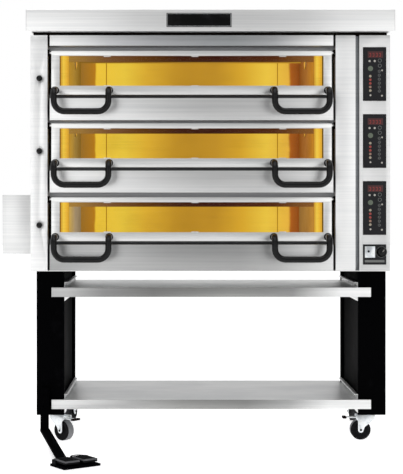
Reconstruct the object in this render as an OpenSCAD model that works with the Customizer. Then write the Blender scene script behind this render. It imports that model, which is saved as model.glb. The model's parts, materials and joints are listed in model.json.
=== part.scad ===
// Three-deck oven on a wheeled stand, with pull-out shelves and a foot pedal.
// Working coordinates: x = 0 at the middle of the body, y = 0 at its front face and growing towards
// the back, z = 0 on the floor. place() then puts the origin under the middle of the whole object.

/* [Body] */
// Width of the oven body
body_w = 1546; // [1500:1:1600]
// Depth of the oven body
body_d = 900; // [880:1:1000]
// Height of the body's front, from its base to the shadow gap under the hood
body_h = 1015; // [1015:1:1040]
// Height of the hood cap
hood_h = 93; // [60:1:140]
// How far the hood cap stands out at the front
hood_front = 45; // [20:1:80]
// How far the hood cap stands out at each side
hood_side = 15; // [5:1:30]
// Height of the shadow gap between the body and the hood cap
hood_gap = 12; // [4:1:15]
// Thickness of the cladding sheet
sheet = 2; // [1.5:0.5:3]

/* [Decks] */
// Middle of the decks, measured from the middle of the body
deck_x = -80.5; // [-90:0.5:-75]
// Underside of the three doors above the floor: top, middle and bottom deck
door_z = [1502.5, 1190.5, 872.5];
// Width of a door
door_w = 1206; // [1180:1:1208]
// Height of a door
door_h = 188; // [184:1:190]
// Thickness of a door
door_t = 40; // [30:1:50]
// Width of the window in a door
window_w = 1135; // [1100:1:1140]
// Height of the window in a door
window_h = 129; // [110:1:130]
// Height of the window's lower edge above the door's underside
window_z = 38; // [36:1:40]
// Gap between a door and the apron below it
apron_gap = 15; // [10:1:18]
// Width of the aprons under the doors
apron_w = 1220; // [1200:1:1222]

/* [Baking chamber] */
// Clear width of a chamber
chamber_w = 1065; // [1000:1:1080]
// Depth of a chamber behind the face frame
chamber_d = 700; // [600:1:710]
// Clear height above the hearth stones
chamber_h = 210; // [180:1:212]
// Height of the hearth above the door's underside
hearth_z = 15; // [12:1:20]
// Height of the mouth's upper edge above the door's underside
mouth_top = 148; // [140:1:170]

/* [Handles] */
// Distance of each handle from the middle of its door
handle_x = 470; // [430:1:475]
// Distance between the two arms of a handle
handle_w = 232; // [200:1:240]
// Diameter of the handle tube
handle_tube = 27; // [18:1:27]
// How far the bar hangs below the door
handle_drop = 76.5; // [70:0.5:85]
// How far the bar stands in front of the door
handle_reach = 70; // [55:1:80]

/* [Stand] */
// Height of the casters
caster_h = 121; // [118:1:125]
// Height of the stand above the casters
stand_h = 622; // [600:1:650]
// Depth of the stand
stand_d = 640; // [600:1:700]
// Width of each stand side
side_w = 119; // [110:1:125]
// Setback of the stand behind the body's front
stand_y = 25; // [22:1:40]
// Radius of a caster wheel
wheel_r = 44.5; // [40:0.5:46]
// Width of a caster wheel
wheel_w = 40; // [30:1:42]
// Distance between a caster's swivel axis and its wheel axle
caster_trail = 38; // [30:1:40]

/* [Shelves] */
// Top of the upper shelf above the floor
upper_shelf_z = 672; // [640:1:680]
// Top of the lower shelf above the floor
lower_shelf_z = 189; // [189:1:220]
// Height of the shelf lips
lip_h = 40; // [30:1:45]
// Width of the shelf lips
lip_w = 1376; // [1300:1:1380]

/* [Pedal] */
// Length of the pedal plate
pedal_l = 165; // [160:1:180]
// Width of the pedal plate
pedal_w = 110; // [108:1:120]
// Turn of the pedal plate about the vertical
pedal_turn = 35; // [30:1:45]

/* [Hidden] */
$fn = 48;
eps = 1;
run_fit = 0.05;
steel = "#dcdcda";
dark_steel = "#3a3a3c";
black = "#161616";

// Heights
body_z = caster_h + stand_h;
base_t = 3;
shell_z = body_z + base_t;
body_top = body_z + body_h;
hood_z = body_top + hood_gap;

// Widths
half_w = body_w / 2;
left_column_w = 73;
right_column_x = 539;
right_column_w = 86;
groove_w = 16;
control_x = right_column_x + right_column_w + groove_w;
left_column_x = -half_w + left_column_w;

// Face frame and chambers
face_y = 68;
face_t = 4;
chamber_y = face_y + face_t;
chamber_back = chamber_y + chamber_d;
liner = 2;
stone_t = 15;
element_room = 18;
element_r = 4;
chamber_x0 = deck_x - chamber_w / 2;
chamber_x1 = deck_x + chamber_w / 2;
lamp_r = 28;
lamp_y = 430;
lamp_z = 180;

// Aprons: lower and upper edge of each
apron_z = [
    [door_z[1] + door_h + 14, door_z[0] - apron_gap],
    [door_z[2] + door_h + 21, door_z[1] - apron_gap],
    [shell_z, door_z[2] - apron_gap]
];
return_d = 60;

// Door hinge
hinge_y = 10;
hinge_drop = 8;
pin_r = 5;
bracket_t = 8;
door_x0 = deck_x - door_w / 2;
door_x1 = deck_x + door_w / 2;
window_x0 = deck_x - window_w / 2;
window_x1 = deck_x + window_w / 2;
glass_y = 8;
glass_t = 5;

// Dampers
damper_x = -733;
damper_z = 68.5;
damper_knob_r = 13;
damper_rod_r = 4;
riser_y0 = 690;
riser_y1 = 780;
collar_r = 37.5;
collar_z = 1600;
collar_out = 40;

// Controls
panel_x = 706.5;
panel_w = 100;
panel_h = 231;
panel_pitch = 288;
panel_z = 899.5;
switch_z = 771.5;
switch_h = 87;
knob_x = 736;
knob_z = 826;
knob_r = 17;

// Connection box on the left side
box_out = 160;
box_y0 = 300;
box_y1 = 560;
box_z0 = 807;
box_z1 = 1074;
gland_r = 20;
gland_bore = 12.5;
gland_h = 30;
gland_z = 870;
pass_y = 430;

// Stand: stand_x moves it sideways from the middle of the body
stand_x = 4.5;
side_x = 754;
side_recess = 12;
side_strip = 45;
side_plate = 2.5;
inner_x = side_x - side_w;
stand_back = stand_y + stand_d;
runner_t = 2.5;
runner_y0 = stand_y + 5;
runner_y1 = stand_back - 75;
runner_up = 22;
runner_down = 59;
runner_flange = 14;
tray_x = inner_x - runner_t - 1;
tray_back = stand_back - 12;
lip_y0 = 8;
beam_y0 = stand_back - 65;
beam_y1 = stand_back - 25;
beam_h = 24;

// Casters: [x, y, turn of the fork]
caster_left = -666;
caster_right = 699;
caster_front_y = 122;
caster_rear_y = 600;
casters = [
    [caster_left, caster_front_y, -40],
    [caster_right, caster_front_y, 180],
    [caster_left, caster_rear_y, 70],
    [caster_right, caster_rear_y, 88]
];
plate_w = 66;
plate_l = 110;
plate_t = 4;
race_r = 26;
race_h = 8;
kingpin_r = 6;
fork_top = caster_h - plate_t - race_h - 0.4;
fork_t = 4;
fork_gap = wheel_w / 2 + 3;
cheek_t = 3;
axle_r = 6;
lever_x = 50;
lever_z = 97;
lever_reach = 116;
lever_pin_r = 3;

// Pedal
pedal_c = [-543, -478];
pad_gap = 8;
pad_l = (pedal_l - 3 * pad_gap - 12) / 2;
pad_w = 92;
pad_z0 = 17;
pad_z1 = 29;
pad_pin_r = 3;
pad_back = pedal_w / 2 - 10;
arm_x = -712;
arm_w = 36;
arm_y0 = -5;
arm_y1 = 3;
arm_bend_z = 62;
arm_foot = [-15, 77];
arm_end = [
    pedal_c[0] + arm_foot[0] * cos(pedal_turn) - arm_foot[1] * sin(pedal_turn),
    pedal_c[1] + arm_foot[0] * sin(pedal_turn) + arm_foot[1] * cos(pedal_turn),
    12
];
wire_r = 2;

// Where the origin lies, under the middle of the object's outline
left_end = -half_w - box_out;
right_end = half_w + hood_side;
front_end = pedal_c[1] - pedal_l / 2 * sin(pedal_turn) - pedal_w / 2 * cos(pedal_turn);
back_end = body_d + collar_out;
shift_x = -(left_end + right_end) / 2;
shift_y = -(front_end + back_end) / 2;

module place() {
    translate([shift_x, shift_y, 0]) children();
}

module place_stand() {
    place() translate([stand_x, 0, 0]) children();
}

// A block between two corners
module block(x0, x1, y0, y1, z0, z1) {
    translate([x0, y0, z0]) cube([x1 - x0, y1 - y0, z1 - z0]);
}

// A cylinder along y or x, starting at a point
module rod_y(p, r, h) {
    translate(p) rotate([-90, 0, 0]) cylinder(r = r, h = h);
}

module rod_x(p, r, h) {
    translate(p) rotate([0, 90, 0]) cylinder(r = r, h = h);
}

// ---- Cladding ----

module hood_cap() {
    inset = 12;
    color(steel) place() difference() {
        union() {
            block(-half_w - hood_side, half_w + hood_side, -hood_front, body_d, hood_z, hood_z + hood_h);
            block(-half_w + inset, half_w - inset, inset, body_d - inset, body_top, hood_z);
        }
        block(-half_w + inset + sheet, half_w - inset - sheet, inset + sheet, body_d - inset - sheet,
            body_top - eps, hood_z + sheet);
        block(-half_w - hood_side + sheet, half_w + hood_side - sheet, sheet - hood_front, body_d - sheet,
            hood_z + sheet, hood_z + hood_h - sheet);
    }
}

module badge_plate() {
    badge_x = -49;
    badge_w = 277;
    badge_h = 60;
    badge_z = 1787;
    color(black) place()
        block(badge_x - badge_w / 2, badge_x + badge_w / 2, -hood_front - 4, -hood_front, badge_z, badge_z + badge_h);
}

module left_side_panel() {
    color(steel) place() difference() {
        block(-half_w, -half_w + sheet, sheet, body_d - sheet, shell_z, body_top);
        translate([-half_w - eps, pass_y, (box_z0 + box_z1) / 2]) rotate([0, 90, 0]) cylinder(r = 30, h = sheet + 2 * eps);
    }
}

module right_side_panel() {
    louvre_w = 160;
    color(steel) place() difference() {
        block(half_w - sheet, half_w, sheet, body_d - sheet, shell_z, body_top);
        for (i = [0:11])
            block(half_w - sheet - eps, half_w + eps, 380, 380 + louvre_w, 900 + 22 * i, 906 + 22 * i);
    }
}

module rear_cover() {
    color(steel) place() difference() {
        union() {
            block(-half_w, half_w, body_d - sheet, body_d, shell_z, body_top);
            rod_y([damper_x, riser_y1, collar_z], collar_r, back_end - riser_y1);
        }
        rod_y([damper_x, riser_y1 - eps, collar_z], collar_r - sheet, back_end - riser_y1 + 2 * eps);
    }
}

module base_tray() {
    color(steel) place() block(-half_w, half_w, 0, body_d, body_z, shell_z);
}

module face_frame() {
    color(dark_steel) place() difference() {
        block(left_column_x, right_column_x, face_y, face_y + face_t, shell_z, body_top);
        for (z = door_z)
            block(chamber_x0, chamber_x1, face_y - eps, face_y + face_t + eps, z + hearth_z, z + mouth_top);
    }
}

// A folded sheet between two heights: a front with a flange along its top and bottom edge
module folded_front(x0, x1, z0, z1) {
    block(x0, x1, 0, sheet, z0, z1);
    block(x0, x1, sheet, return_d, z1 - sheet, z1);
    block(x0, x1, sheet, return_d, z0, z0 + sheet);
}

module top_filler() {
    filler_z = 1713;
    color(steel) place() folded_front(deck_x - apron_w / 2, deck_x + apron_w / 2, filler_z, body_top);
}

module aprons() {
    color(steel) place() for (z = apron_z)
        folded_front(deck_x - apron_w / 2, deck_x + apron_w / 2, z[0], z[1]);
}

module left_column() {
    color(steel) place() difference() {
        union() {
            block(-half_w, left_column_x, 0, sheet, shell_z, body_top);
            block(left_column_x - sheet, left_column_x, sheet, 90, shell_z, body_top);
        }
        for (z = door_z)
            rod_y([damper_x, -eps, z + damper_z], 8 + run_fit, sheet + 2 * eps);
    }
}

module right_column() {
    groove_d = 20;
    right_end_x = right_column_x + right_column_w;
    color(steel) place() union() {
        block(right_column_x, right_end_x, 0, sheet, shell_z, body_top);
        block(right_column_x, right_column_x + sheet, sheet, 90, shell_z, body_top);
        block(right_end_x - sheet, right_end_x, sheet, groove_d, shell_z, body_top);
        block(right_end_x - sheet, control_x, groove_d, groove_d + sheet, shell_z, body_top);
    }
}

module control_column() {
    margin = 6;
    color(steel) place() difference() {
        union() {
            block(control_x, half_w, 0, sheet, shell_z, body_top);
            block(control_x, control_x + sheet, sheet, 20, shell_z, body_top);
        }
        for (i = [0:2])
            block(panel_x - panel_w / 2 + margin, panel_x + panel_w / 2 - margin, -eps, sheet + eps,
                panel_z + panel_pitch * i + margin, panel_z + panel_pitch * i + panel_h - margin);
        block(panel_x - panel_w / 2 + margin, panel_x + panel_w / 2 - margin, -eps, sheet + eps,
            switch_z + margin, switch_z + switch_h - margin);
    }
}

module side_box() {
    x0 = -half_w - box_out;
    mid_x = -half_w - box_out / 2;
    color(steel) place() difference() {
        union() {
            block(x0, -half_w, box_y0, box_y1, box_z0, box_z1);
            rod_y([mid_x, box_y1, gland_z], gland_r, gland_h);
        }
        block(x0 + sheet, -half_w + eps, box_y0 + sheet, box_y1 - sheet, box_z0 + sheet, box_z1 - sheet);
        rod_y([mid_x, box_y1 - sheet - eps, gland_z], gland_bore, gland_h + sheet + 2 * eps);
    }
}

// ---- Chambers ----

module chamber(z) {
    floor_z = z + hearth_z - stone_t - element_room;
    top_z = z + hearth_z + chamber_h;
    ledge_w = 20;
    color("#c9c6bf") place() difference() {
        union() {
            difference() {
                block(chamber_x0 - liner, chamber_x1 + liner, chamber_y, chamber_back + liner,
                    floor_z - liner, top_z + liner);
                block(chamber_x0, chamber_x1, chamber_y - eps, chamber_back, floor_z, top_z);
            }
            for (x = [chamber_x0, chamber_x1 - ledge_w])
                block(x, x + ledge_w, chamber_y, chamber_back, z + hearth_z - stone_t - 3, z + hearth_z - stone_t);
        }
        for (x = [chamber_x0 - liner - eps, chamber_x1 - eps])
            rod_x([x, lamp_y, z + lamp_z], lamp_r + 0.2, liner + 2 * eps);
        rod_x([chamber_x0 - liner - eps, (riser_y0 + riser_y1) / 2, z + lamp_z], 20.2, liner + 2 * eps);
    }
}

module chamber_top() { chamber(door_z[0]); }
module chamber_middle() { chamber(door_z[1]); }
module chamber_bottom() { chamber(door_z[2]); }

module hearth_stones() {
    joint = 2;
    color("#b9a78e") place() for (z = door_z) {
        top = z + hearth_z;
        block(chamber_x0 + 1, deck_x - joint / 2, chamber_y + 2, chamber_back - 2, top - stone_t, top);
        block(deck_x + joint / 2, chamber_x1 - 1, chamber_y + 2, chamber_back - 2, top - stone_t, top);
    }
}

module insulation() {
    top_of = chamber_h + hearth_z + liner + 0.5;
    under = hearth_z - stone_t - element_room - liner - 0.5;
    wool_z0 = shell_z + 1;
    wool_z1 = body_top - 1;
    gaps = [
        [wool_z0, door_z[2] + under],
        [door_z[2] + top_of, door_z[1] + under],
        [door_z[1] + top_of, door_z[0] + under],
        [door_z[0] + top_of, wool_z1]
    ];
    left_x = chamber_x0 - liner - 0.5;
    right_x = chamber_x1 + liner + 0.5;
    wool_w = 72;
    color("#d8c77a") place() {
        for (g = gaps)
            block(left_x + 1, right_x - 1, chamber_y + 2, chamber_back, g[0], g[1]);
        for (x = [left_x - wool_w, right_x]) difference() {
            block(x, x + wool_w, 92, chamber_back, wool_z0, wool_z1);
            for (z = door_z) {
                rod_x([x - eps, lamp_y, z + lamp_z], lamp_r + 2, wool_w + 2 * eps);
                rod_x([x - eps, (riser_y0 + riser_y1) / 2, z + lamp_z], 21, wool_w + 2 * eps);
            }
        }
        block(left_x + 1, right_x + wool_w, chamber_back + liner + 1, chamber_back + 90, wool_z0, wool_z1);
    }
}

module heating_elements() {
    rows = 5;
    color("#6b5d55") place() for (z = door_z, i = [0:rows - 1]) {
        y = chamber_y + 90 + 130 * i;
        rod_x([chamber_x0, y, z + hearth_z + chamber_h - 12], element_r, chamber_w);
        rod_x([chamber_x0, y, z + hearth_z - stone_t - 9], element_r, chamber_w);
    }
}

module chamber_lamps() {
    proud = 8;
    behind = 40;
    color("#fff2c0") place() for (z = door_z) {
        rod_x([chamber_x1 - proud, lamp_y, z + lamp_z], lamp_r, proud + behind);
        rod_x([chamber_x0 - behind, lamp_y, z + lamp_z], lamp_r, proud + behind);
    }
}

module flue_riser() {
    x0 = damper_x - 35;
    x1 = damper_x + 35;
    z0 = 900;
    z1 = 1720;
    wall = 1.5;
    port_y = (riser_y0 + riser_y1) / 2;
    color("#a8a8a6") place() difference() {
        union() {
            block(x0, x1, riser_y0, riser_y1, z0, z1);
            for (z = door_z)
                rod_x([x1 - eps, port_y, z + lamp_z], 20, chamber_x0 - x1 + eps);
        }
        block(x0 + wall, x1 - wall, riser_y0 + wall, riser_y1 - wall, z0 + wall, z1 - wall);
        for (z = door_z) {
            rod_x([x1 - wall - eps, port_y, z + lamp_z], 18.5, chamber_x0 - x1 + wall + 2 * eps);
            rod_y([damper_x, riser_y0 - eps, z + damper_z], damper_rod_r + 1, wall + 2 * eps);
        }
        rod_y([damper_x, riser_y1 - wall - eps, collar_z], 32, wall + 2 * eps);
    }
}

module power_box() {
    plate_x = 545;
    color("#8d9296") place() union() {
        block(plate_x, plate_x + 3, 200, 640, 800, 1600);
        for (k = [0:3], j = [0:2])
            block(plate_x + 3, plate_x + 78, 230 + 130 * j, 310 + 130 * j, 850 + 180 * k, 950 + 180 * k);
    }
}

// ---- Doors ----

module hinge_brackets() {
    half_z = 14;
    color(dark_steel) place() for (z = door_z) {
        axis_z = z + door_h - hinge_drop;
        for (x = [left_column_x, right_column_x - bracket_t]) difference() {
            block(x, x + bracket_t, sheet, 26, axis_z - half_z, axis_z + half_z);
            rod_x([x - eps, hinge_y, axis_z], pin_r + run_fit, bracket_t + 2 * eps);
        }
    }
}

module door_frame(z) {
    rim = 8;
    rim_back = 20;
    rebate = 5;
    axis_z = z + door_h - hinge_drop;
    wz0 = z + window_z;
    wz1 = wz0 + window_h;
    pin_l = door_x0 - left_column_x - 0.5;
    clip_w = 30;
    seam_z = wz1 + 1;
    color(steel) place() difference() {
        union() {
            difference() {
                block(door_x0, door_x1, 0, door_t, z, z + door_h);
                block(door_x0 + sheet, door_x1 - sheet, sheet, door_t - sheet, z + sheet, z + door_h - sheet);
            }
            difference() {
                block(window_x0 - rim, window_x1 + rim, sheet, rim_back, wz0 - rim, wz1 + rim);
                block(window_x0 - rebate, window_x1 + rebate, glass_y, rim_back + eps, wz0 - rebate, wz1 + rebate);
            }
            for (x = [door_x0 + sheet, door_x1 - sheet - 12])
                block(x, x + 12, sheet, 24, axis_z - 12, z + door_h - sheet);
            rod_x([door_x0 - pin_l, hinge_y, axis_z], pin_r, pin_l + 6);
            rod_x([door_x1 - 6, hinge_y, axis_z], pin_r, pin_l + 6);
        }
        block(window_x0, window_x1, -eps, glass_y + eps, wz0, wz1);
        block(window_x0 - rim, window_x1 + rim, door_t - sheet - eps, door_t + eps, wz0 - rim, wz1 + rim);
        block(door_x0 - eps, door_x1 + eps, -eps, 0.8, seam_z, seam_z + 1.2);
    }
    color(steel) place() for (k = [-1, 0, 1]) {
        x = deck_x + k * window_w / 3;
        block(x, x + clip_w, glass_y + glass_t, rim_back, wz1 - 3, wz1 + rebate);
        block(x, x + clip_w, glass_y + glass_t, rim_back, wz0 - rebate, wz0 + 3);
    }
}

module door_frame_top() { door_frame(door_z[0]); }
module door_frame_middle() { door_frame(door_z[1]); }
module door_frame_bottom() { door_frame(door_z[2]); }

module door_glass(z) {
    lap = 4.5;
    color("#f0c85a", 0.5) place()
        block(window_x0 - lap, window_x1 + lap, glass_y, glass_y + glass_t,
            z + window_z - lap, z + window_z + window_h + lap);
}

module door_glass_top() { door_glass(door_z[0]); }
module door_glass_middle() { door_glass(door_z[1]); }
module door_glass_bottom() { door_glass(door_z[2]); }

// A bent-tube handle around x = 0: out of the door, down in front of the apron, and across
module handle(z) {
    r = handle_tube / 2;
    bend = 28;
    corner = 44;
    root_z = z + 18;
    bar_z = z - handle_drop;
    arm = handle_w / 2;
    for (s = [-1, 1]) {
        translate([s * arm, -handle_reach + bend, root_z]) rotate([-90, 0, 0]) cylinder(r = r, h = handle_reach - bend);
        translate([s * arm, -4, root_z]) rotate([-90, 0, 0]) cylinder(r = r + 4, h = 4);
        translate([s * arm, -handle_reach + bend, root_z - bend]) rotate([90, 0, -90]) rotate([0, 0, 0])
            rotate_extrude(angle = 90) translate([bend, 0]) circle(r = r);
        translate([s * arm, -handle_reach, bar_z + corner]) cylinder(r = r, h = root_z - bend - bar_z - corner);
        translate([s * (arm - corner), -handle_reach, bar_z + corner]) rotate([90, 0, 0]) rotate([0, 0, s > 0 ? -90 : 180])
            rotate_extrude(angle = 90) translate([corner, 0]) circle(r = r);
    }
    rod_x([-arm + corner, -handle_reach, bar_z], r, 2 * (arm - corner));
}

module door_handles(z) {
    color(black) place() for (s = [-1, 1])
        translate([deck_x + s * handle_x, 0, 0]) handle(z);
}

module door_handles_top() { door_handles(door_z[0]); }
module door_handles_middle() { door_handles(door_z[1]); }
module door_handles_bottom() { door_handles(door_z[2]); }

// ---- Dampers and controls ----

module damper_guides() {
    color(black) place() for (z = door_z) difference() {
        union() {
            rod_y([damper_x, 0, z + damper_z], 8, 14);
            rod_y([damper_x, -2, z + damper_z], 11, 2);
        }
        rod_y([damper_x, -3, z + damper_z], damper_rod_r + run_fit, 20);
    }
}

module damper_pull(z) {
    knob_y = -damper_knob_r - 6;
    rod_end = 752;
    color(black) place() union() {
        translate([damper_x, knob_y, z + damper_z]) sphere(r = damper_knob_r);
        rod_y([damper_x, knob_y, z + damper_z], damper_rod_r, rod_end - knob_y);
        rod_y([damper_x, knob_y + 8, z + damper_z], 6, 8.5);
        block(damper_x - 26, damper_x + 26, rod_end - 3, rod_end, z + damper_z - 24, z + damper_z + 24);
    }
}

module damper_pull_top() { damper_pull(door_z[0]); }
module damper_pull_middle() { damper_pull(door_z[1]); }
module damper_pull_bottom() { damper_pull(door_z[2]); }

module control_panels() {
    bezel = 3;
    margin = 7;
    color(black) place() for (i = [0:2]) {
        z = panel_z + panel_pitch * i;
        block(panel_x - panel_w / 2, panel_x + panel_w / 2, -bezel, 0, z, z + panel_h);
        block(panel_x - panel_w / 2 + margin, panel_x + panel_w / 2 - margin, 0, 55, z + margin, z + panel_h - margin);
    }
}

module switch_plate() {
    bezel = 3;
    margin = 7;
    color(black) place() difference() {
        union() {
            block(panel_x - panel_w / 2, panel_x + panel_w / 2, -bezel, 0, switch_z, switch_z + switch_h);
            block(panel_x - panel_w / 2 + margin, panel_x + panel_w / 2 - margin, 0, 40,
                switch_z + margin, switch_z + switch_h - margin);
        }
        rod_y([knob_x, -bezel - eps, knob_z], 4 + run_fit, 30);
    }
}

module switch_knob() {
    color(black) place() union() {
        rod_y([knob_x, -12, knob_z], knob_r, 8.5);
        rod_y([knob_x, -12, knob_z], 4, 32);
        translate([knob_x, -12, knob_z]) rotate([0, 45, 0]) block(-4.5, 4.5, -10, 2, -knob_r + 1, knob_r - 1);
    }
}

// ---- Stand ----

// Plan outline of a stand side: a channel whose inner face is set back between two strips
function side_outline(t) = [
    [inner_x + t, stand_y + t],
    [side_x - t, stand_y + t],
    [side_x - t, stand_back - t],
    [inner_x + t, stand_back - t],
    [inner_x + t, stand_back - side_strip + t],
    [inner_x + side_recess + t, stand_back - side_strip + t],
    [inner_x + side_recess + t, stand_y + side_strip - t],
    [inner_x + t, stand_y + side_strip - t]
];

module stand_side() {
    foot_t = 4;
    difference() {
        translate([0, 0, caster_h]) linear_extrude(height = stand_h) polygon(side_outline(0));
        translate([0, 0, caster_h + foot_t]) linear_extrude(height = stand_h) polygon(side_outline(side_plate));
    }
}

module stand_left() {
    color(black) place_stand() mirror([1, 0, 0]) stand_side();
}

module stand_right() {
    color(black) place_stand() stand_side();
}

module stand_beams() {
    wall = 2.5;
    color(black) place_stand() for (z = [upper_shelf_z - lip_h - 10 - beam_h, lower_shelf_z - lip_h - 4 - beam_h]) difference() {
        block(-inner_x, inner_x, beam_y0, beam_y1, z, z + beam_h);
        block(-inner_x - eps, inner_x + eps, beam_y0 + wall, beam_y1 - wall, z + wall, z + beam_h - wall);
    }
}

// One runner on the right side, for a shelf whose top is at z
module runner(z) {
    ledge_z = z - lip_h - 0.3;
    x0 = inner_x - runner_t;
    block(x0, inner_x, runner_y0, runner_y1, z - runner_down, z + runner_up);
    block(x0 - runner_flange, x0, runner_y0, runner_y1, ledge_z - runner_t, ledge_z);
    block(x0 - runner_flange, x0, runner_y0, runner_y1, z + runner_up - runner_t, z + runner_up);
}

module shelf_runners() {
    color("#d5d6d6") place_stand() for (z = [upper_shelf_z, lower_shelf_z]) {
        runner(z);
        mirror([1, 0, 0]) runner(z);
    }
}

module shelf(z) {
    skin = 2;
    lip_back = stand_y - 1.5;
    color("#cfd0cf") place_stand() union() {
        block(-tray_x, tray_x, lip_y0, tray_back, z - skin, z);
        for (x = [-tray_x, tray_x - skin])
            block(x, x + skin, lip_y0, tray_back, z - lip_h, z - skin);
        block(-tray_x, tray_x, tray_back - skin, tray_back, z - lip_h / 2, z - skin);
        block(-lip_w / 2, lip_w / 2, lip_y0, lip_y0 + skin, z - lip_h, z);
        block(-lip_w / 2, lip_w / 2, lip_y0, lip_back, z - skin, z);
        block(-lip_w / 2, lip_w / 2, lip_y0, lip_back, z - lip_h, z - lip_h + skin);
    }
}

module upper_shelf() { shelf(upper_shelf_z); }
module lower_shelf() { shelf(lower_shelf_z); }

// ---- Casters ----

module caster_plates() {
    color("#b9bcc0") place() for (c = casters) translate([c[0], c[1], 0]) {
        difference() {
            translate([-plate_w / 2, -plate_l / 2, caster_h - plate_t]) cube([plate_w, plate_l, plate_t]);
            for (x = [-1, 1], y = [-1, 1])
                translate([24 * x, 43 * y, caster_h - plate_t - eps]) cylinder(r = 4.5, h = plate_t + 2 * eps);
        }
        translate([0, 0, caster_h - plate_t - race_h]) cylinder(r = race_r, h = race_h);
        translate([0, 0, fork_top - fork_t - 5]) cylinder(r = kingpin_r, h = 10);
        translate([0, 0, fork_top - fork_t - 5]) cylinder(r = kingpin_r + 4, h = 4.6);
    }
}

// Fork around the swivel axis, with its wheel trailing along +x
module fork() {
    y0 = fork_gap;
    y1 = fork_gap + cheek_t;
    difference() {
        union() {
            difference() {
                translate([-24, -y1, fork_top - fork_t]) cube([82, 2 * y1, fork_t]);
                translate([32, -y0 + 3, fork_top - fork_t - eps]) cube([40, 2 * y0 - 6, fork_t + 2 * eps]);
            }
            for (s = [-1, 1]) translate([0, s > 0 ? y0 : -y1, 0]) cheek();
            translate([caster_trail, -y1 - 3, wheel_r]) rotate([-90, 0, 0]) cylinder(r = axle_r, h = 2 * y1 + 6);
            translate([lever_x, -y1, lever_z]) rotate([-90, 0, 0]) cylinder(r = lever_pin_r, h = 2 * y1);
        }
        translate([0, 0, fork_top - fork_t - eps]) cylinder(r = kingpin_r + run_fit, h = fork_t + 2 * eps);
    }
}

module cheek() {
    boss = 12;
    translate([0, cheek_t, 0]) rotate([90, 0, 0]) linear_extrude(height = cheek_t) {
        polygon([
            [-24, fork_top], [58, fork_top], [58, lever_z - 6], [caster_trail + boss, lever_z - 14],
            [caster_trail + boss, wheel_r], [caster_trail - boss, wheel_r], [caster_trail - 18, wheel_r + 14],
            [-24, fork_top - 16]
        ]);
        translate([caster_trail, wheel_r]) circle(r = boss);
    }
}

module at_caster(c) {
    translate([c[0], c[1], 0]) rotate([0, 0, c[2]]) children();
}

module caster_fork_front_left() { color("#c4c8cb") place() at_caster(casters[0]) fork(); }
module caster_fork_front_right() { color("#c4c8cb") place() at_caster(casters[1]) fork(); }
module caster_fork_rear_left() { color("#c4c8cb") place() at_caster(casters[2]) fork(); }
module caster_fork_rear_right() { color("#c4c8cb") place() at_caster(casters[3]) fork(); }

module wheel() {
    round = 6;
    h = wheel_w / 2;
    hub_h = fork_gap - 0.6;
    translate([caster_trail, 0, wheel_r]) rotate([90, 0, 0]) difference() {
        union() {
            rotate_extrude() difference() {
                square([wheel_r, h - eps]);
                translate([30, h - 4]) square([4, 4]);
            }
            mirror([0, 0, 1]) rotate_extrude() difference() {
                square([wheel_r, h - eps]);
                translate([30, h - 4]) square([4, 4]);
            }
            rotate_extrude() translate([wheel_r - round, 0]) for (s = [-1, 1])
                translate([0, s * (h - round)]) circle(r = round);
            translate([0, 0, -hub_h]) cylinder(r = 13, h = 2 * hub_h);
        }
        rotate_extrude() for (s = [-1, 1]) translate([wheel_r - round, s * (h - round)]) difference() {
            translate([0, s > 0 ? 0 : -round - eps]) square([round + eps, round + eps]);
            circle(r = round);
        }
        translate([0, 0, -hub_h - eps]) cylinder(r = axle_r + run_fit, h = 2 * hub_h + 2 * eps);
    }
}

module caster_wheel_front_left() { color("#232326") place() at_caster(casters[0]) wheel(); }
module caster_wheel_front_right() { color("#232326") place() at_caster(casters[1]) wheel(); }
module caster_wheel_rear_left() { color("#232326") place() at_caster(casters[2]) wheel(); }
module caster_wheel_rear_right() { color("#232326") place() at_caster(casters[3]) wheel(); }

module lever() {
    half = fork_gap - 1;
    difference() {
        union() {
            translate([lever_x, -half, lever_z]) rotate([-90, 0, 0]) cylinder(r = 6, h = 2 * half);
            block(lever_x, lever_reach - 14, -half + 5, half - 5, lever_z - 1.5, lever_z + 1.5);
            block(lever_reach - 16, lever_reach, -half + 1, half - 1, lever_z - 4, lever_z + 4);
        }
        translate([lever_x, -half - eps, lever_z]) rotate([-90, 0, 0])
            cylinder(r = lever_pin_r + run_fit, h = 2 * half + 2 * eps);
    }
}

module brake_lever_left() { color("#2b2022") place() at_caster(casters[0]) lever(); }
module brake_lever_right() { color("#2b2022") place() at_caster(casters[1]) lever(); }

// ---- Pedal ----

// Pedal coordinates: x along the plate's long side, y towards its back edge
module at_pedal() {
    translate([pedal_c[0], pedal_c[1], 0]) rotate([0, 0, pedal_turn]) children();
}

// A flat bar from one point to another
module bar(p, q, w, t) {
    d = q - p;
    run = norm([d[0], d[1]]);
    translate(p) rotate([0, 0, atan2(d[1], d[0])]) rotate([0, -atan2(d[2], run), 0])
        translate([0, -w / 2, -t / 2]) cube([norm(d), w, t]);
}

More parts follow.
